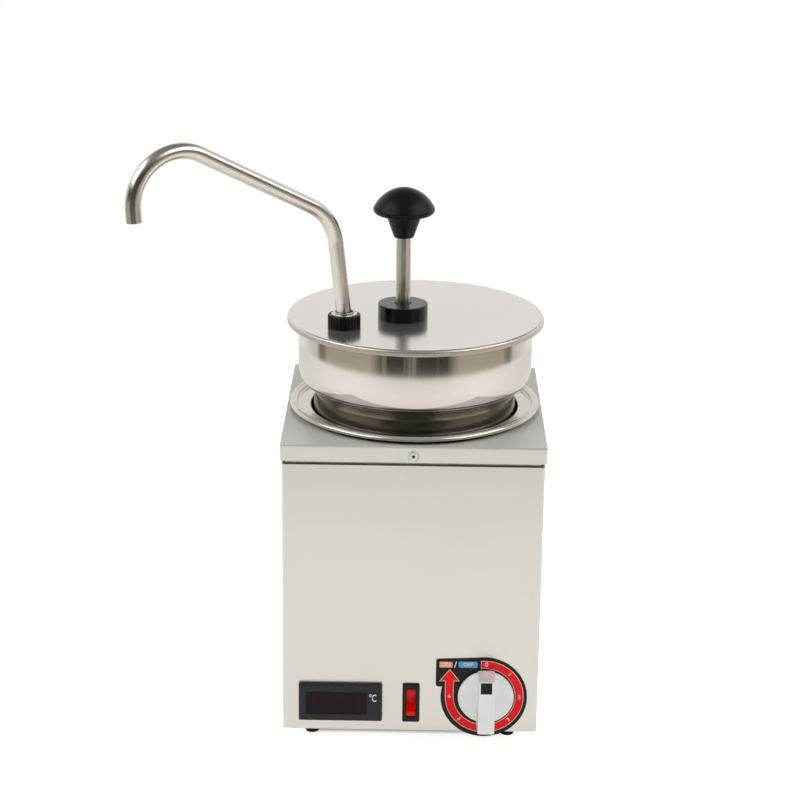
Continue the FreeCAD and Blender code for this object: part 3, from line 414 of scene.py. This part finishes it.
def brushed_sheet(name, colour, roughness, scale, strength, metallic=1.0):
    """Stainless sheet of one tone with a fine grain along one axis."""
    material = new_material(name, colour, roughness, metallic)
    tree = material.node_tree
    grain = noise(tree, stretched(tree, place_of(tree), scale), detail=3.0)
    vary_roughness(material, grain, roughness * 0.9, roughness * 1.12)
    add_bump(material, grain, strength)
    return material


def satin_sheet(name, colour, darker, roughness, scale, strength=0.06):
    """Brushed sheet with slow soft changes of tone."""
    material = brushed_sheet(name, colour, roughness, scale, strength)
    tree = material.node_tree
    two_tones(material, noise(tree, place_of(tree), scale=9.0, detail=3.0), darker, colour)
    return material


def polished_spun(name, colour, darker, roughness, rings):
    """Polished spun steel: faint rings round the axis and a slightly uneven polish."""
    material = new_material(name, colour, roughness, 1.0)
    tree = material.node_tree
    ring = noise(tree, spun(tree, rings, 0.6), detail=3.0)
    two_tones(material, noise(tree, place_of(tree), scale=14.0, detail=4.0), darker, colour)
    vary_roughness(material, ring, roughness * 0.8, roughness * 1.3)
    add_bump(material, ring, 0.01)
    return material


def plain_metal(name, colour, darker, roughness, scale=600.0, strength=0.1):
    """Bare or plated metal with a fine uneven surface."""
    material = new_material(name, colour, roughness, 1.0)
    tree = material.node_tree
    cloud = noise(tree, place_of(tree), scale=45.0, detail=3.0)
    two_tones(material, cloud, darker, colour)
    vary_roughness(material, cloud, roughness * 0.92, roughness * 1.1)
    add_bump(material, noise(tree, place_of(tree), scale=scale, detail=4.0), strength)
    return material


def tube_satin():
    """Satin steel of the spout's tube, a little darker than the ferrule."""
    return plain_metal("tube_satin", (0.72, 0.69, 0.64), (0.70, 0.67, 0.62), 0.23, 300.0, 0.01)


def cover_sheet():
    """Satin sheet of the cover with painted light and shade: its top face is coloured darker and the skirt
    folded down from it lighter, to set how bright each looks.
    """
    material = brushed_sheet("cover_sheet", COVER_DARKENED_TOP, 0.36, (10, 1300, 1300), 0.015, 0.5)
    start, end = (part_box("top_cover")[1].z - depth for depth in COVER_FOLD)
    change_by_height(material, start, end, COVER_LIGHTENED_SKIRT, COVER_DARKENED_TOP, Metallic=(0.5, 0.3))
    return material


def lid_sheet():
    """Satin sheet of the lid, rougher on its turned-down edge and coloured darker there as a painted
    reflection of the dark room.
    """
    material = new_material("lid_sheet", LID_FACE, 0.18, 0.92)
    tree = material.node_tree
    start, end = (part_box("lid")[1].z - depth for depth in LID_FOLD)
    change_by_height(material, start, end, LID_SHADED_EDGE, LID_FACE, Roughness=(0.46, 0.18))
    add_bump(material, noise(tree, stretched(tree, place_of(tree), (700, 14, 700)), detail=3.0), 0.008)
    return material


def pan_polish():
    """Mirror polish on the pan's wall; below its shoulder the steel is satin and coloured darker as a painted
    reflection of the dark room.
    """
    material = new_material("pan_polish", PAN_BRIGHT, 0.05, 1.0)
    tree = material.node_tree
    change_by_height(material, *PAN_SHADE_AND_SATIN_END, PAN_SHADED_NECK, PAN_BRIGHT, Roughness=(0.22, 0.05))
    add_bump(material, noise(tree, spun(tree, 900.0, 0.6), detail=3.0), 0.01)
    return material


def ring_polish():
    """Polished ring with a duller outer edge."""
    material = polished_spun("ring_polish", (0.64, 0.62, 0.575), (0.61, 0.59, 0.545), 0.13, 1100.0)
    tree = material.node_tree
    x, y, _ = axes_of(tree, place_of(tree))
    start, end = (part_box("adapter_ring")[1].x - inset for inset in RING_EDGE)
    feed(material, "Metallic", remapped(tree, hypotenuse(tree, x, y), 1.0, 0.72, start, end))
    return material


def dimpled_screws():
    """Bright screw heads with painted shade, a dark colour, in their sockets; the screws lie on the cabinet's
    middle planes.
    """
    low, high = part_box("cover_screws")
    material = new_material("cover_screws", SCREW_BRIGHT, 0.4, 0.8)
    tree = material.node_tree
    x, y, z = axes_of(tree, place_of(tree))
    side = maths(tree, "MINIMUM", maths(tree, "ABSOLUTE", x), maths(tree, "ABSOLUTE", y))
    rise = maths(tree, "SUBTRACT", z, (low.z + high.z) / 2)
    # Painted shade in the socket, fading out between two radii
    away = remapped(tree, hypotenuse(tree, side, rise), 0.0, 1.0, *SCREW_SHADE_RADII)
    two_colours(material, away, SCREW_PAINTED_SHADE, SCREW_BRIGHT)
    add_bump(material, noise(tree, place_of(tree), scale=900.0), 0.05)
    return material


# Plastics, rubber, ink and the table's white

def moulded(name, colour, lighter, roughness, grain=1800.0, strength=0.1, **sockets):
    """Moulded plastic: a fine grain and faint flow marks."""
    material = new_material(name, colour, roughness, **sockets)
    tree = material.node_tree
    fine = noise(tree, place_of(tree), scale=grain, detail=2.0)
    two_tones(material, noise(tree, place_of(tree), scale=60.0, detail=4.0), colour, lighter)
    vary_roughness(material, fine, roughness * 0.85, roughness * 1.2)
    add_bump(material, fine, strength)
    return material


def turned_plastic(name, colour, lighter, roughness, centre):
    """Plastic turned on a lathe: close rings on its faces."""
    material = new_material(name, colour, roughness)
    tree = material.node_tree
    ring = noise(tree, spun(tree, 2600.0, 0.4, centre), detail=2.0)
    two_tones(material, ring, colour, lighter)
    vary_roughness(material, ring, roughness * 0.8, roughness * 1.4)
    add_bump(material, ring, 0.05)
    return material


def lamp_rocker(name):
    """Clear red plastic with reds painted by height as light and shade, lighter towards both ends and deep
    red between, and a faint painted glow in the same reds.
    """
    low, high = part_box("rocker")
    material = new_material(name, (0.42, 0.004, 0.003), 0.2, Specular_IOR_Level=0.15, Emission_Strength=0.1)
    tree = material.node_tree
    # Painted light and shade by height; the faint glow in the same reds is painted light too
    reds = colour_ramp(tree, by_height(material, 0.0, 1.0, low.z, high.z), ROCKER_SHADED_REDS)
    feed(material, "Base Color", reds)
    feed(material, "Emission Color", reds)
    add_bump(material, noise(tree, place_of(tree), scale=500.0), 0.02)
    return material


def ink(name, colour):
    """Screen printing: an even colour with the slight mottle of a thin layer of ink."""
    lighter = tuple(min(1.0, part * 1.12) for part in colour)
    return moulded(name, colour, lighter, 0.45, 2600.0, 0.05, Specular_IOR_Level=0.2)


def table_white():
    """White table top, whose glow keeps the shade round the part pale and is turned low underneath as a
    painted contact shadow.
    """
    material = new_material("table_white", (0.84, 0.82, 0.79), 0.7, Emission_Color=(1.0, 1.0, 1.0, 1.0))
    tree = material.node_tree
    x, y, _ = axes_of(tree, place_of(tree))
    beside = maths(tree, "MAXIMUM", maths(tree, "ABSOLUTE", x), maths(tree, "ABSOLUTE", y))
    start, end = (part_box("body_wrap")[1].x - inset for inset in GLOW_INSET)
    # Under the cabinet the camera's glow is turned low: a painted contact shadow
    seen = remapped(tree, beside, *GLOW_STRENGTH, start, end)
    mirrored = remapped(tree, hypotenuse(tree, x, y), *MIRROR_STRENGTH, *MIRROR_REACH)
    path = add_node(tree, "ShaderNodeLightPath")
    seen = maths(tree, "MULTIPLY", path.outputs["Is Camera Ray"], seen)
    mirrored = maths(tree, "MULTIPLY", path.outputs["Is Glossy Ray"], mirrored)
    feed(material, "Emission Strength", maths(tree, "ADD", seen, mirrored))
    add_bump(material, noise(tree, place_of(tree), scale=40.0), 0.02, TABLE_GRAIN)
    return material


# Finishes of the nodes

def upright_axis(low, high):
    """The point on the table under the middle of a box."""
    return Vector(((low.x + high.x) / 2, (low.y + high.y) / 2, 0.0))


def finishes():
    """The finish of each material slot of the record."""
    pump = upright_axis(*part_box("pump_collar"))[:2]
    dull = {"Specular_IOR_Level": 0.3}
    return {
        "satin_steel": satin_sheet("satin_steel", (0.72, 0.685, 0.63), (0.70, 0.665, 0.61), 0.34,
                                   (12, 900, 900)),
        "polished_steel": plain_metal("polished_steel", (0.78, 0.75, 0.70), (0.76, 0.73, 0.68), 0.24,
                                      300.0, 0.01),
        "plain_steel": plain_metal("plain_steel", (0.62, 0.62, 0.61), (0.52, 0.52, 0.51), 0.3),
        "aluminium_plate": plain_metal("aluminium_plate", (0.74, 0.74, 0.75), (0.66, 0.66, 0.67), 0.32),
        "element_sheath": plain_metal("element_sheath", (0.34, 0.31, 0.27), (0.22, 0.18, 0.15), 0.38),
        "copper_capillary": plain_metal("copper_capillary", (0.82, 0.45, 0.29), (0.66, 0.32, 0.2), 0.26),
        "brass_insert": plain_metal("brass_insert", (0.78, 0.6, 0.28), (0.66, 0.48, 0.2), 0.24),
        "black_knob": moulded("black_knob", (0.003, 0.003, 0.0035), (0.005, 0.005, 0.0055), 0.34,
                              Specular_IOR_Level=0.2),
        "black_collar": turned_plastic("black_collar", (0.003, 0.003, 0.003), (0.006, 0.006, 0.006), 0.12,
                                       pump),
        "black_nut": moulded("black_nut", (0.005, 0.005, 0.005), (0.008, 0.008, 0.008), 0.34, **dull),
        "black_rubber": moulded("black_rubber", (0.012, 0.012, 0.012), (0.02, 0.02, 0.02), 0.7, 900.0, 0.3),
        "seal_rubber": moulded("seal_rubber", (0.26, 0.07, 0.05), (0.32, 0.1, 0.07), 0.5, 700.0, 0.2),
        "white_plastic": moulded("white_plastic", (0.78, 0.78, 0.74), (0.84, 0.84, 0.81), 0.4),
        "display_slate": moulded("display_slate", (0.016, 0.022, 0.023), (0.02, 0.026, 0.027), 0.4,
                                 2400.0, 0.15, **dull),
        "display_glass": moulded("display_glass", (0.014, 0.007, 0.014), (0.02, 0.009, 0.02), 0.2,
                                 400.0, 0.02, Specular_IOR_Level=0.12),
        "switch_black": moulded("switch_black", (0.005, 0.005, 0.005), (0.008, 0.008, 0.008), 0.32, **dull),
        "rocker_red": lamp_rocker("rocker_red"),
        "dial_black": moulded("dial_black", (0.006, 0.005, 0.005), (0.008, 0.007, 0.007), 0.4, **dull),
        "knob_grey": moulded("knob_grey", (0.84, 0.87, 0.87), (0.87, 0.90, 0.90), 0.36, 2200.0, 0.06,
                             Metallic=0.55),
        "dark_moulding": moulded("dark_moulding", (0.02, 0.02, 0.02), (0.03, 0.03, 0.03), 0.5),
    }


def dress_nodes(slots):
    """Each carried-over solid gets the finish of its slot, or a finish of its own."""
    own = {
        "body_wrap": satin_sheet("wrap_sheet", (0.81, 0.795, 0.755), (0.80, 0.785, 0.745), 0.32,
                                 (10, 10, 1100), 0.02),
        "top_cover": cover_sheet(),
        "lid": lid_sheet(),
        "cover_screws": dimpled_screws(),
        "adapter_ring": ring_polish(),
        "water_tank": polished_spun("tank_polish", (0.70, 0.68, 0.65), (0.64, 0.62, 0.58), 0.16, 700.0),
    }
    for part in frame["record"]["subparts"]:
        node = NODES[part["node"]]
        node.data.materials.clear()
        node.data.materials.append(own.get(part["node"], slots[part["material_slot"]]))


# Forms made anew for the looks

def keep_piece(name, mesh, material, body):
    mesh.materials.append(material)
    piece = bpy.data.objects.new(name, mesh)
    bpy.context.scene.collection.objects.link(piece)
    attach(piece, body)
    return piece


def filleted(corners, steps=10):
    """Points of a line through (a, b, radius) corners, with an arc of that radius at each inner corner."""
    points = []
    for i, (a, b, radius) in enumerate(corners):
        here = Vector((a, b))
        if radius == 0:
            points.append(here)
            continue
        before = (Vector(corners[i - 1][:2]) - here).normalized()
        after = (Vector(corners[i + 1][:2]) - here).normalized()
        half = before.angle(after) / 2
        middle = here + (before + after).normalized() * radius / math.sin(half)
        start = here + before * radius / math.tan(half) - middle
        end = here + after * radius / math.tan(half) - middle
        side = 1.0 if start.cross(end) > 0 else -1.0
        for step in range(steps + 1):
            turn = Matrix.Rotation(side * (math.pi - 2 * half) * step / steps, 2)
            points.append(middle + turn @ start)
    return points


def quarter(centre, out, up, steps=16):
    """Points of a quarter ellipse from below its centre to the side of it."""
    angles = [math.pi / 2 * step / steps for step in range(steps + 1)]
    return [Vector((centre[0] + out * math.sin(a), centre[1] - up * math.cos(a))) for a in angles]


def smooth_mesh(form, name):
    """Mesh of a form, smooth but for its sharp edges."""
    bmesh.ops.recalc_face_normals(form, faces=form.faces)
    for face in form.faces:
        face.smooth = True
    mesh = bpy.data.meshes.new(name)
    form.to_mesh(mesh)
    form.free()
    mesh.set_sharp_from_angle(angle=math.radians(40))
    return mesh


def turned_mesh(name, outline, centre=(0.0, 0.0)):
    """Smooth mesh turned round an upright axis from (radius, height) points, millimetres."""
    form = bmesh.new()
    corners = [form.verts.new((centre[0] + point.x * MM, centre[1], point.y * MM)) for point in outline]
    edges = [form.edges.new(pair) for pair in zip(corners, corners[1:])]
    bmesh.ops.spin(form, geom=corners + edges, cent=(*centre, 0), axis=(0, 0, 1), angle=2 * math.pi,
                   steps=TURN_STEPS)
    bmesh.ops.remove_doubles(form, verts=form.verts, dist=0.001 * MM)
    return smooth_mesh(form, name)


def add_ring(form, centre, radius, first, second, sides):
    """Corners of a ring round a centre, in the plane of two directions."""
    angles = [2 * math.pi * side / sides for side in range(sides)]
    return [form.verts.new(centre + radius * (math.cos(a) * first + math.sin(a) * second)) for a in angles]


def join_rings(form, near, far):
    """Faces between two rings with the same number of corners."""
    for side in range(len(near)):
        following = (side + 1) % len(near)
        form.faces.new((near[side], near[following], far[following], far[side]))


def shape_pan(material):
    """Turned pan whose wall runs into the shoulder in one full curve."""
    low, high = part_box("sauce_pan")
    seat, rim, reach = low.z / MM, high.z / MM, high.x / MM
    ledge = PAN_WIDE - SHOULDER_OUT
    bowl = (ledge, PAN_SHOULDER + SHOULDER_UP)
    lip = rim - RIM_DEPTH
    outline = filleted([(0, seat, 0), (PAN_FOOT, seat, FOOT_ROUND), (*PAN_NECK, NECK_ROUND),
                        (*PAN_WAIST, WAIST_ROUND), (PAN_NECK[0], PAN_SHOULDER, LEDGE_ROUND),
                        (ledge, PAN_SHOULDER, 0)])
    outline += quarter(bowl, SHOULDER_OUT, SHOULDER_UP)[1:]

    inner = PAN_WIDE - PAN_SHEET
    outline += filleted([(PAN_WIDE, bowl[1] + WALL_STEP, 0), (PAN_WIDE, lip - 2 * WALL_STEP, 0),
                         (PAN_WIDE, lip, RIM_FILLET), (reach, lip, RIM_ROUND), (reach, rim, RIM_ROUND),
                         (inner, rim, MOUTH_ROUND), (inner, bowl[1] + 2 * WALL_STEP, 0)])

    neck = PAN_NECK[0] - PAN_SHEET
    shelf = PAN_SHOULDER + PAN_SHEET
    outline += quarter(bowl, SHOULDER_OUT - PAN_SHEET, SHOULDER_UP - PAN_SHEET)[::-1][:-1]
    outline += filleted([(ledge, shelf, 0), (neck, shelf, LEDGE_ROUND_INSIDE),
                         (PAN_WAIST[0] - PAN_SHEET, PAN_WAIST[1], WAIST_ROUND + PAN_SHEET),
                         (neck, PAN_NECK[1], NECK_ROUND - PAN_SHEET),
                         (PAN_FOOT - PAN_SHEET, seat + PAN_SHEET, FOOT_ROUND - PAN_SHEET),
                         (0, seat + PAN_SHEET, 0)])
    pan = keep_piece("pan_turned", turned_mesh("pan_turned", outline), material, "pan")
    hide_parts("sauce_pan")


def shape_ferrule(material):
    """Bright sleeve round the tube's foot, with a shallow cup that fills the nut's mouth."""
    low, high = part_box("spout_ferrule")
    foot, top = low.z / MM, high.z / MM
    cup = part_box("spout_nut")[1].z / MM + CUP_GAP
    outline = filleted([(FERRULE_BORE, foot, 0), (FERRULE_FLANGE, foot, 0),
                        (FERRULE_FLANGE, foot + FLANGE_TOP, 0), (FERRULE_OUT, foot + FLANGE_TOP, 0),
                        (FERRULE_OUT, cup, 0), (CUP_RADIUS - CUP_EDGE, cup, 0),
                        (CUP_RADIUS, cup + CUP_BRIM, 0), (CUP_RADIUS - CUP_EDGE, cup + CUP_TOP, 0),
                        (FERRULE_OUT, cup + CUP_EDGE, CUP_EDGE), (FERRULE_OUT, top, CUP_EDGE),
                        (FERRULE_INSIDE, top, 0), (FERRULE_INSIDE, foot + FLOOR_EDGE, 0),
                        (FERRULE_BORE, foot + BORE_TOP, 0)])
    mesh = turned_mesh("ferrule_cup", outline + outline[:1], upright_axis(low, high)[:2])
    ferrule = keep_piece("ferrule_cup", mesh, material, "spout")
    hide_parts("spout_ferrule")


def spout_path(steps=40):
    """Centre line of the tube in its own plane: riser, lean, straight rise, arch and short outlet."""
    rise = math.radians(90.0 + ARCH_RISE)
    tuck = math.radians(OUTLET_TUCK)
    angles = [rise - (rise + tuck) * step / steps for step in range(steps + 1)]
    arch = [Vector(ARCH_CENTRE) + ARCH_RADIUS * Vector((math.cos(a), math.sin(a))) for a in angles]
    riser = [(*SPOUT_FOOT, 0), (*SPOUT_LEAN, SPOUT_LEAN_RADIUS), (*SPOUT_BEND, SPOUT_BEND_RADIUS),
             (*arch[0], 0)]
    outlet = arch[-1] - OUTLET_RUN * Vector((math.sin(tuck), math.cos(tuck)))
    return filleted(riser)[:-1] + arch + [outlet]


def shape_tube(material, sides=56):
    """Hollow tube along the spout's centre line, in the plane through the pump's and the riser's axes."""
    pump = upright_axis(*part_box("pump_collar"))
    riser = upright_axis(*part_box("spout_ferrule"))
    away = (riser - pump).normalized()
    up = Vector((0.0, 0.0, 1.0))
    across = away.cross(up)
    path = spout_path()
    form = bmesh.new()
    outer, bore = [], []
    for i, point in enumerate(path):
        steps = [(b - a).normalized() for a, b in zip(path[max(i - 1, 0):i + 1], path[max(i, 1):i + 2])]
        heading = sum(steps, Vector((0.0, 0.0))).normalized()
        centre = riser + MM * (point.x * away + point.y * up)
        over = heading.x * up - heading.y * away
        outer.append(add_ring(form, centre, TUBE_RADIUS * MM, over, across, sides))
        bore.append(add_ring(form, centre, TUBE_BORE * MM, over, across, sides))
    ends = [(outer[0], bore[0]), (outer[-1], bore[-1])]
    for near, far in [*zip(outer, outer[1:]), *zip(bore, bore[1:]), *ends]:
        join_rings(form, near, far)
    tube = keep_piece("tube_bent", smooth_mesh(form, "tube_bent"), material, "spout")
    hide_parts("spout_tube")


def shape_spring(material, steps=24, sides=10):
    """Return spring as one wire in steady turns."""
    low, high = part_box("return_spring")
    wire = SPRING_WIRE * MM / 2
    mean = (high.x - low.x) / 2 - wire
    up = Vector((0.0, 0.0, 1.0))
    foot = upright_axis(low, high) + low.z * up
    pitch = (high.z - low.z - 2 * wire) / SPRING_TURNS
    form = bmesh.new()
    rings = []
    for step in range(SPRING_TURNS * steps + 1):
        turn = 2 * math.pi * step / steps
        out = Vector((math.cos(turn), math.sin(turn), 0.0))
        along = Vector((-mean * out.y, mean * out.x, pitch / (2 * math.pi))).normalized()
        centre = foot + mean * out + (wire + pitch * step / steps) * up
        rings.append(add_ring(form, centre, wire, out, along.cross(out), sides))
    for near, far in zip(rings, rings[1:]):
        join_rings(form, near, far)
    form.faces.new(rings[0])
    form.faces.new(rings[-1])
    coil = keep_piece("spring_coil", smooth_mesh(form, "spring_coil"), material, "lid_unit")
    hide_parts("return_spring")
    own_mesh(coil)


# Printing

def print_shape(name, outline, depth, material):
    """A thin layer on the dial plate; the outline's (x, z) corners are in millimetres."""
    form = bmesh.new()
    front = form.faces.new([form.verts.new((x * MM, PLATE_FACE - depth, z * MM)) for x, z in outline])
    grown = bmesh.ops.extrude_face_region(form, geom=[front])["geom"]
    moved = [item for item in grown if isinstance(item, bmesh.types.BMVert)]
    bmesh.ops.translate(form, verts=moved, vec=(0.0, depth, 0.0))
    bmesh.ops.recalc_face_normals(form, faces=form.faces)
    mesh = bpy.data.meshes.new(name)
    form.to_mesh(mesh)
    form.free()
    return keep_piece(name, mesh, material, "cabinet")


def print_words(name, words, height, place, face, depth, material, turn=0.0, width=1.0):
    """Lettering in the built-in font, capitals of the given height, centred on (x, z), millimetres."""
    curve = bpy.data.curves.new(name, "FONT")
    curve.body = words
    curve.size = height * MM / FONT_CAPITALS
    curve.align_x = "CENTER"
    curve.align_y = "CENTER"
    curve.extrude = depth / 2
    curve.offset = FONT_BOLD * curve.size
    writing = bpy.data.objects.new(name + "_curve", curve)
    mesh = bpy.data.meshes.new_from_object(writing)
    bpy.data.objects.remove(writing)
    x, z = place
    narrow = Matrix.Diagonal((width, 1.0, 1.0, 1.0))
    upright = Matrix.Rotation(math.radians(turn), 4, "Y") @ Matrix.Rotation(math.radians(90), 4, "X")
    mesh.transform(Matrix.Translation((x * MM, face - depth / 2, z * MM)) @ upright @ narrow)
    return keep_piece(name, mesh, material, "cabinet")


def arc_points(radius, first, last, step=3.0):
    """Points round the dial's ring from one angle to another; degrees, counterclockwise from +X."""
    count = max(2, round(abs(last - first) / step))
    angles = [math.radians(first + (last - first) * i / count) for i in range(count + 1)]
    return [(RING_X + radius * math.cos(a), RING_Z + radius * math.sin(a)) for a in angles]


def ring_outline(grow):
    """The ring that starts flat at the top, runs clockwise to the left and ends in an upright arrow."""
    outside, inside = RING_OUTSIDE + grow, RING_INSIDE - grow
    start = RING_START_X - RING_X - grow
    stem_left, stem_right = RING_X - outside, RING_X - inside
    middle = (stem_left + stem_right) / 2
    head = ARROW_HEAD_HALF + BARB_MITRE * grow
    base = ARROW_STEM_TOP - grow
    arrow = [(stem_left, base), (middle - head, base), (middle, ARROW_TIP_Z + TIP_MITRE * grow),
             (middle + head, base), (stem_right, base)]
    outer_start = math.degrees(math.acos(start / outside))
    inner_start = math.degrees(math.acos(start / inside))
    return arc_points(outside, outer_start, -180.0) + arrow + arc_points(inside, -180.0, inner_start)


def rounded_label(label, radius, steps=4):
    """Outline of a rounded rectangle (x0, x1, z0, z1), millimetres."""
    x0, x1, z0, z1 = label
    points = []
    for cx, cz, first in ((x1 - radius, z1 - radius, 0), (x0 + radius, z1 - radius, 90),
                          (x0 + radius, z0 + radius, 180), (x1 - radius, z0 + radius, 270)):
        for step in range(steps + 1):
            angle = math.radians(first + 90.0 * step / steps)
            points.append((cx + radius * math.cos(angle), cz + radius * math.sin(angle)))
    return points


def middle_of(label):
    return (label[0] + label[1]) / 2, (label[2] + label[3]) / 2


def print_dial():
    """The dial's ring with its digits and arrow, and the labels above the arrow."""
    white = ink("ink_white", (0.80, 0.72, 0.72))
    red = ink("ink_red", (0.94, 0.009, 0.011))
    orange = ink("ink_orange", (0.92, 0.36, 0.20))
    blue = ink("ink_blue", (0.10, 0.38, 0.70))
    pale = ink("ink_pale", (0.86, 0.80, 0.78))
    print_shape("ring_border", ring_outline(OUTLINE), UNDER_INK, white)
    print_shape("ring_print", ring_outline(0.0), INK, red)
    reach = (RING_INSIDE + RING_OUTSIDE) / 2
    for digit, (clock, lean) in enumerate(DIGITS):
        angle = math.radians(clock)
        place = (RING_X + reach * math.sin(angle), RING_Z + reach * math.cos(angle))
        height = ZERO_HEIGHT if digit == 0 else DIGIT_HEIGHT
        print_words(f"digit_{digit}", str(digit), height, place, PLATE_FACE, OVER_INK, pale, lean)
    print_shape("on_label", rounded_label(ON_LABEL, ON_ROUND), INK, orange)
    print_words("on_word", "ON", LABEL_HEIGHT, middle_of(ON_LABEL), PLATE_FACE, OVER_INK, pale)
    print_shape("off_label", rounded_label(OFF_LABEL, OFF_ROUND), INK, blue)
    print_words("off_word", "OFF", LABEL_HEIGHT, middle_of(OFF_LABEL), PLATE_FACE, OVER_INK, pale)
    print_words("slash", "/", SLASH_HEIGHT, SLASH_PLACE, PLATE_FACE, INK, pale)


def print_case():
    """The degree sign on the thermometer's case."""
    grey = ink("ink_grey", (0.84, 0.84, 0.86))
    print_words("degree_sign", "°C", DEGREE_HEIGHT, DEGREE_PLACE, CASE_FACE, INK, grey, width=DEGREE_WIDTH)


# Camera, table, room and lamps

def make_camera():
    cos_pitch, sin_pitch = math.cos(CAMERA_PITCH), math.sin(CAMERA_PITCH)
    ahead = Vector((math.sin(CAMERA_YAW) * cos_pitch, math.cos(CAMERA_YAW) * cos_pitch, -sin_pitch))
    level = Vector((math.cos(CAMERA_YAW), -math.sin(CAMERA_YAW), 0.0))
    above = level.cross(ahead)
    right = math.cos(CAMERA_ROLL) * level + math.sin(CAMERA_ROLL) * above
    up = -math.sin(CAMERA_ROLL) * level + math.cos(CAMERA_ROLL) * above
    camera = bpy.data.objects.new("camera", bpy.data.cameras.new("camera"))
    camera.data.lens = CAMERA_LENS
    camera.data.sensor_width = CAMERA_SENSOR
    turn = Matrix((right, up, -ahead)).transposed().to_4x4()
    camera.matrix_world = Matrix.Translation(CAMERA_PLACE) @ turn
    bpy.context.scene.collection.objects.link(camera)
    bpy.context.scene.camera = camera


def make_table():
    mesh = bpy.data.meshes.new("table")
    form = bmesh.new()
    bmesh.ops.create_circle(form, cap_ends=True, segments=TABLE_SIDES, radius=TABLE_RADIUS)
    form.to_mesh(mesh)
    form.free()
    mesh.materials.append(table_white())
    table = bpy.data.objects.new("table", mesh)
    bpy.context.scene.collection.objects.link(table)


def make_room():
    """The surroundings: white walls behind and at the sides, a dim ceiling, an unlit room in front and, below
    the table's height, a brownish one with a dark middle broken by upright patches. The camera sees plain
    white instead."""
    world = bpy.data.worlds.new("room")
    bpy.context.scene.world = world
    world.use_nodes = True
    tree = world.node_tree
    direction = add_node(tree, "ShaderNodeTexCoord").outputs["Generated"]
    x, y, z = axes_of(tree, direction)
    turn = maths(tree, "ABSOLUTE", turn_from_front(tree, x, y))

    stops = [(degrees / 180.0, colour) for degrees, colour in ROOM_ROUND]
    around = colour_ramp(tree, maths(tree, "DIVIDE", turn, math.pi), stops)
    patches = noise(tree, stretched(tree, direction, PATCH_SCALE), detail=3.0, rough=0.6)
    middle = remapped(tree, turn, 1.0, 0.0, *PATCHES_END)
    spots = maths(tree, "MULTIPLY", middle, remapped(tree, patches, 0.0, PATCH_STRENGTH, *PATCH_NOISE))
    low_room = mixed(tree, spots, around, ROOM_BROWN)

    level_room = mixed(tree, remapped(tree, turn, 1.0, 0.0, *UNLIT_END), ROOM_WHITE, ROOM_UNLIT)
    walls = mixed(tree, remapped(tree, z, 0.0, 1.0, *LOW_ROOM_END), low_room, level_room)
    whole_room = mixed(tree, remapped(tree, z, 0.0, 1.0, *WALL_END), walls, ROOM_CEILING)

    path = add_node(tree, "ShaderNodeLightPath")
    seen = mixed(tree, path.outputs["Is Camera Ray"], whole_room, (1.0, 1.0, 1.0))
    background = tree.nodes["Background"]
    background.inputs["Strength"].default_value = 1.0
    tree.links.new(seen, background.inputs["Color"])


def make_lamp(name, place, size, watts, mirrored=True):
    """A lamp that points at the part; one that isn't mirrored lights the matt surfaces only."""
    data = bpy.data.lights.new(name, "AREA")
    data.shape = "RECTANGLE"
    data.size, data.size_y = size
    data.energy = watts
    lamp = bpy.data.objects.new(name, data)
    lamp.location = place
    lamp.rotation_mode = "QUATERNION"
    lamp.rotation_quaternion = (Vector(LAMP_TARGET) - Vector(place)).to_track_quat("-Z", "Y")
    lamp.visible_glossy = mirrored
    bpy.context.scene.collection.objects.link(lamp)


def make_lamps():
    for side, x in (("left", -LAMP_SIDE), ("right", LAMP_SIDE)):
        make_lamp(f"softbox_{side}", (x, *SOFTBOX_PLACE), SOFTBOX_SIZE, SOFTBOX_WATTS)
        make_lamp(f"fill_{side}", (x, *FILL_PLACE), FILL_SIZE, FILL_WATTS, mirrored=False)


make_camera()
slots = finishes()
dress_nodes(slots)
shape_pan(pan_polish())
shape_tube(tube_satin())
shape_ferrule(slots["polished_steel"])
shape_spring(slots["plain_steel"])
print_dial()
print_case()
make_table()
make_room()
make_lamps()

bpy.context.scene.view_settings.view_transform = "Standard"
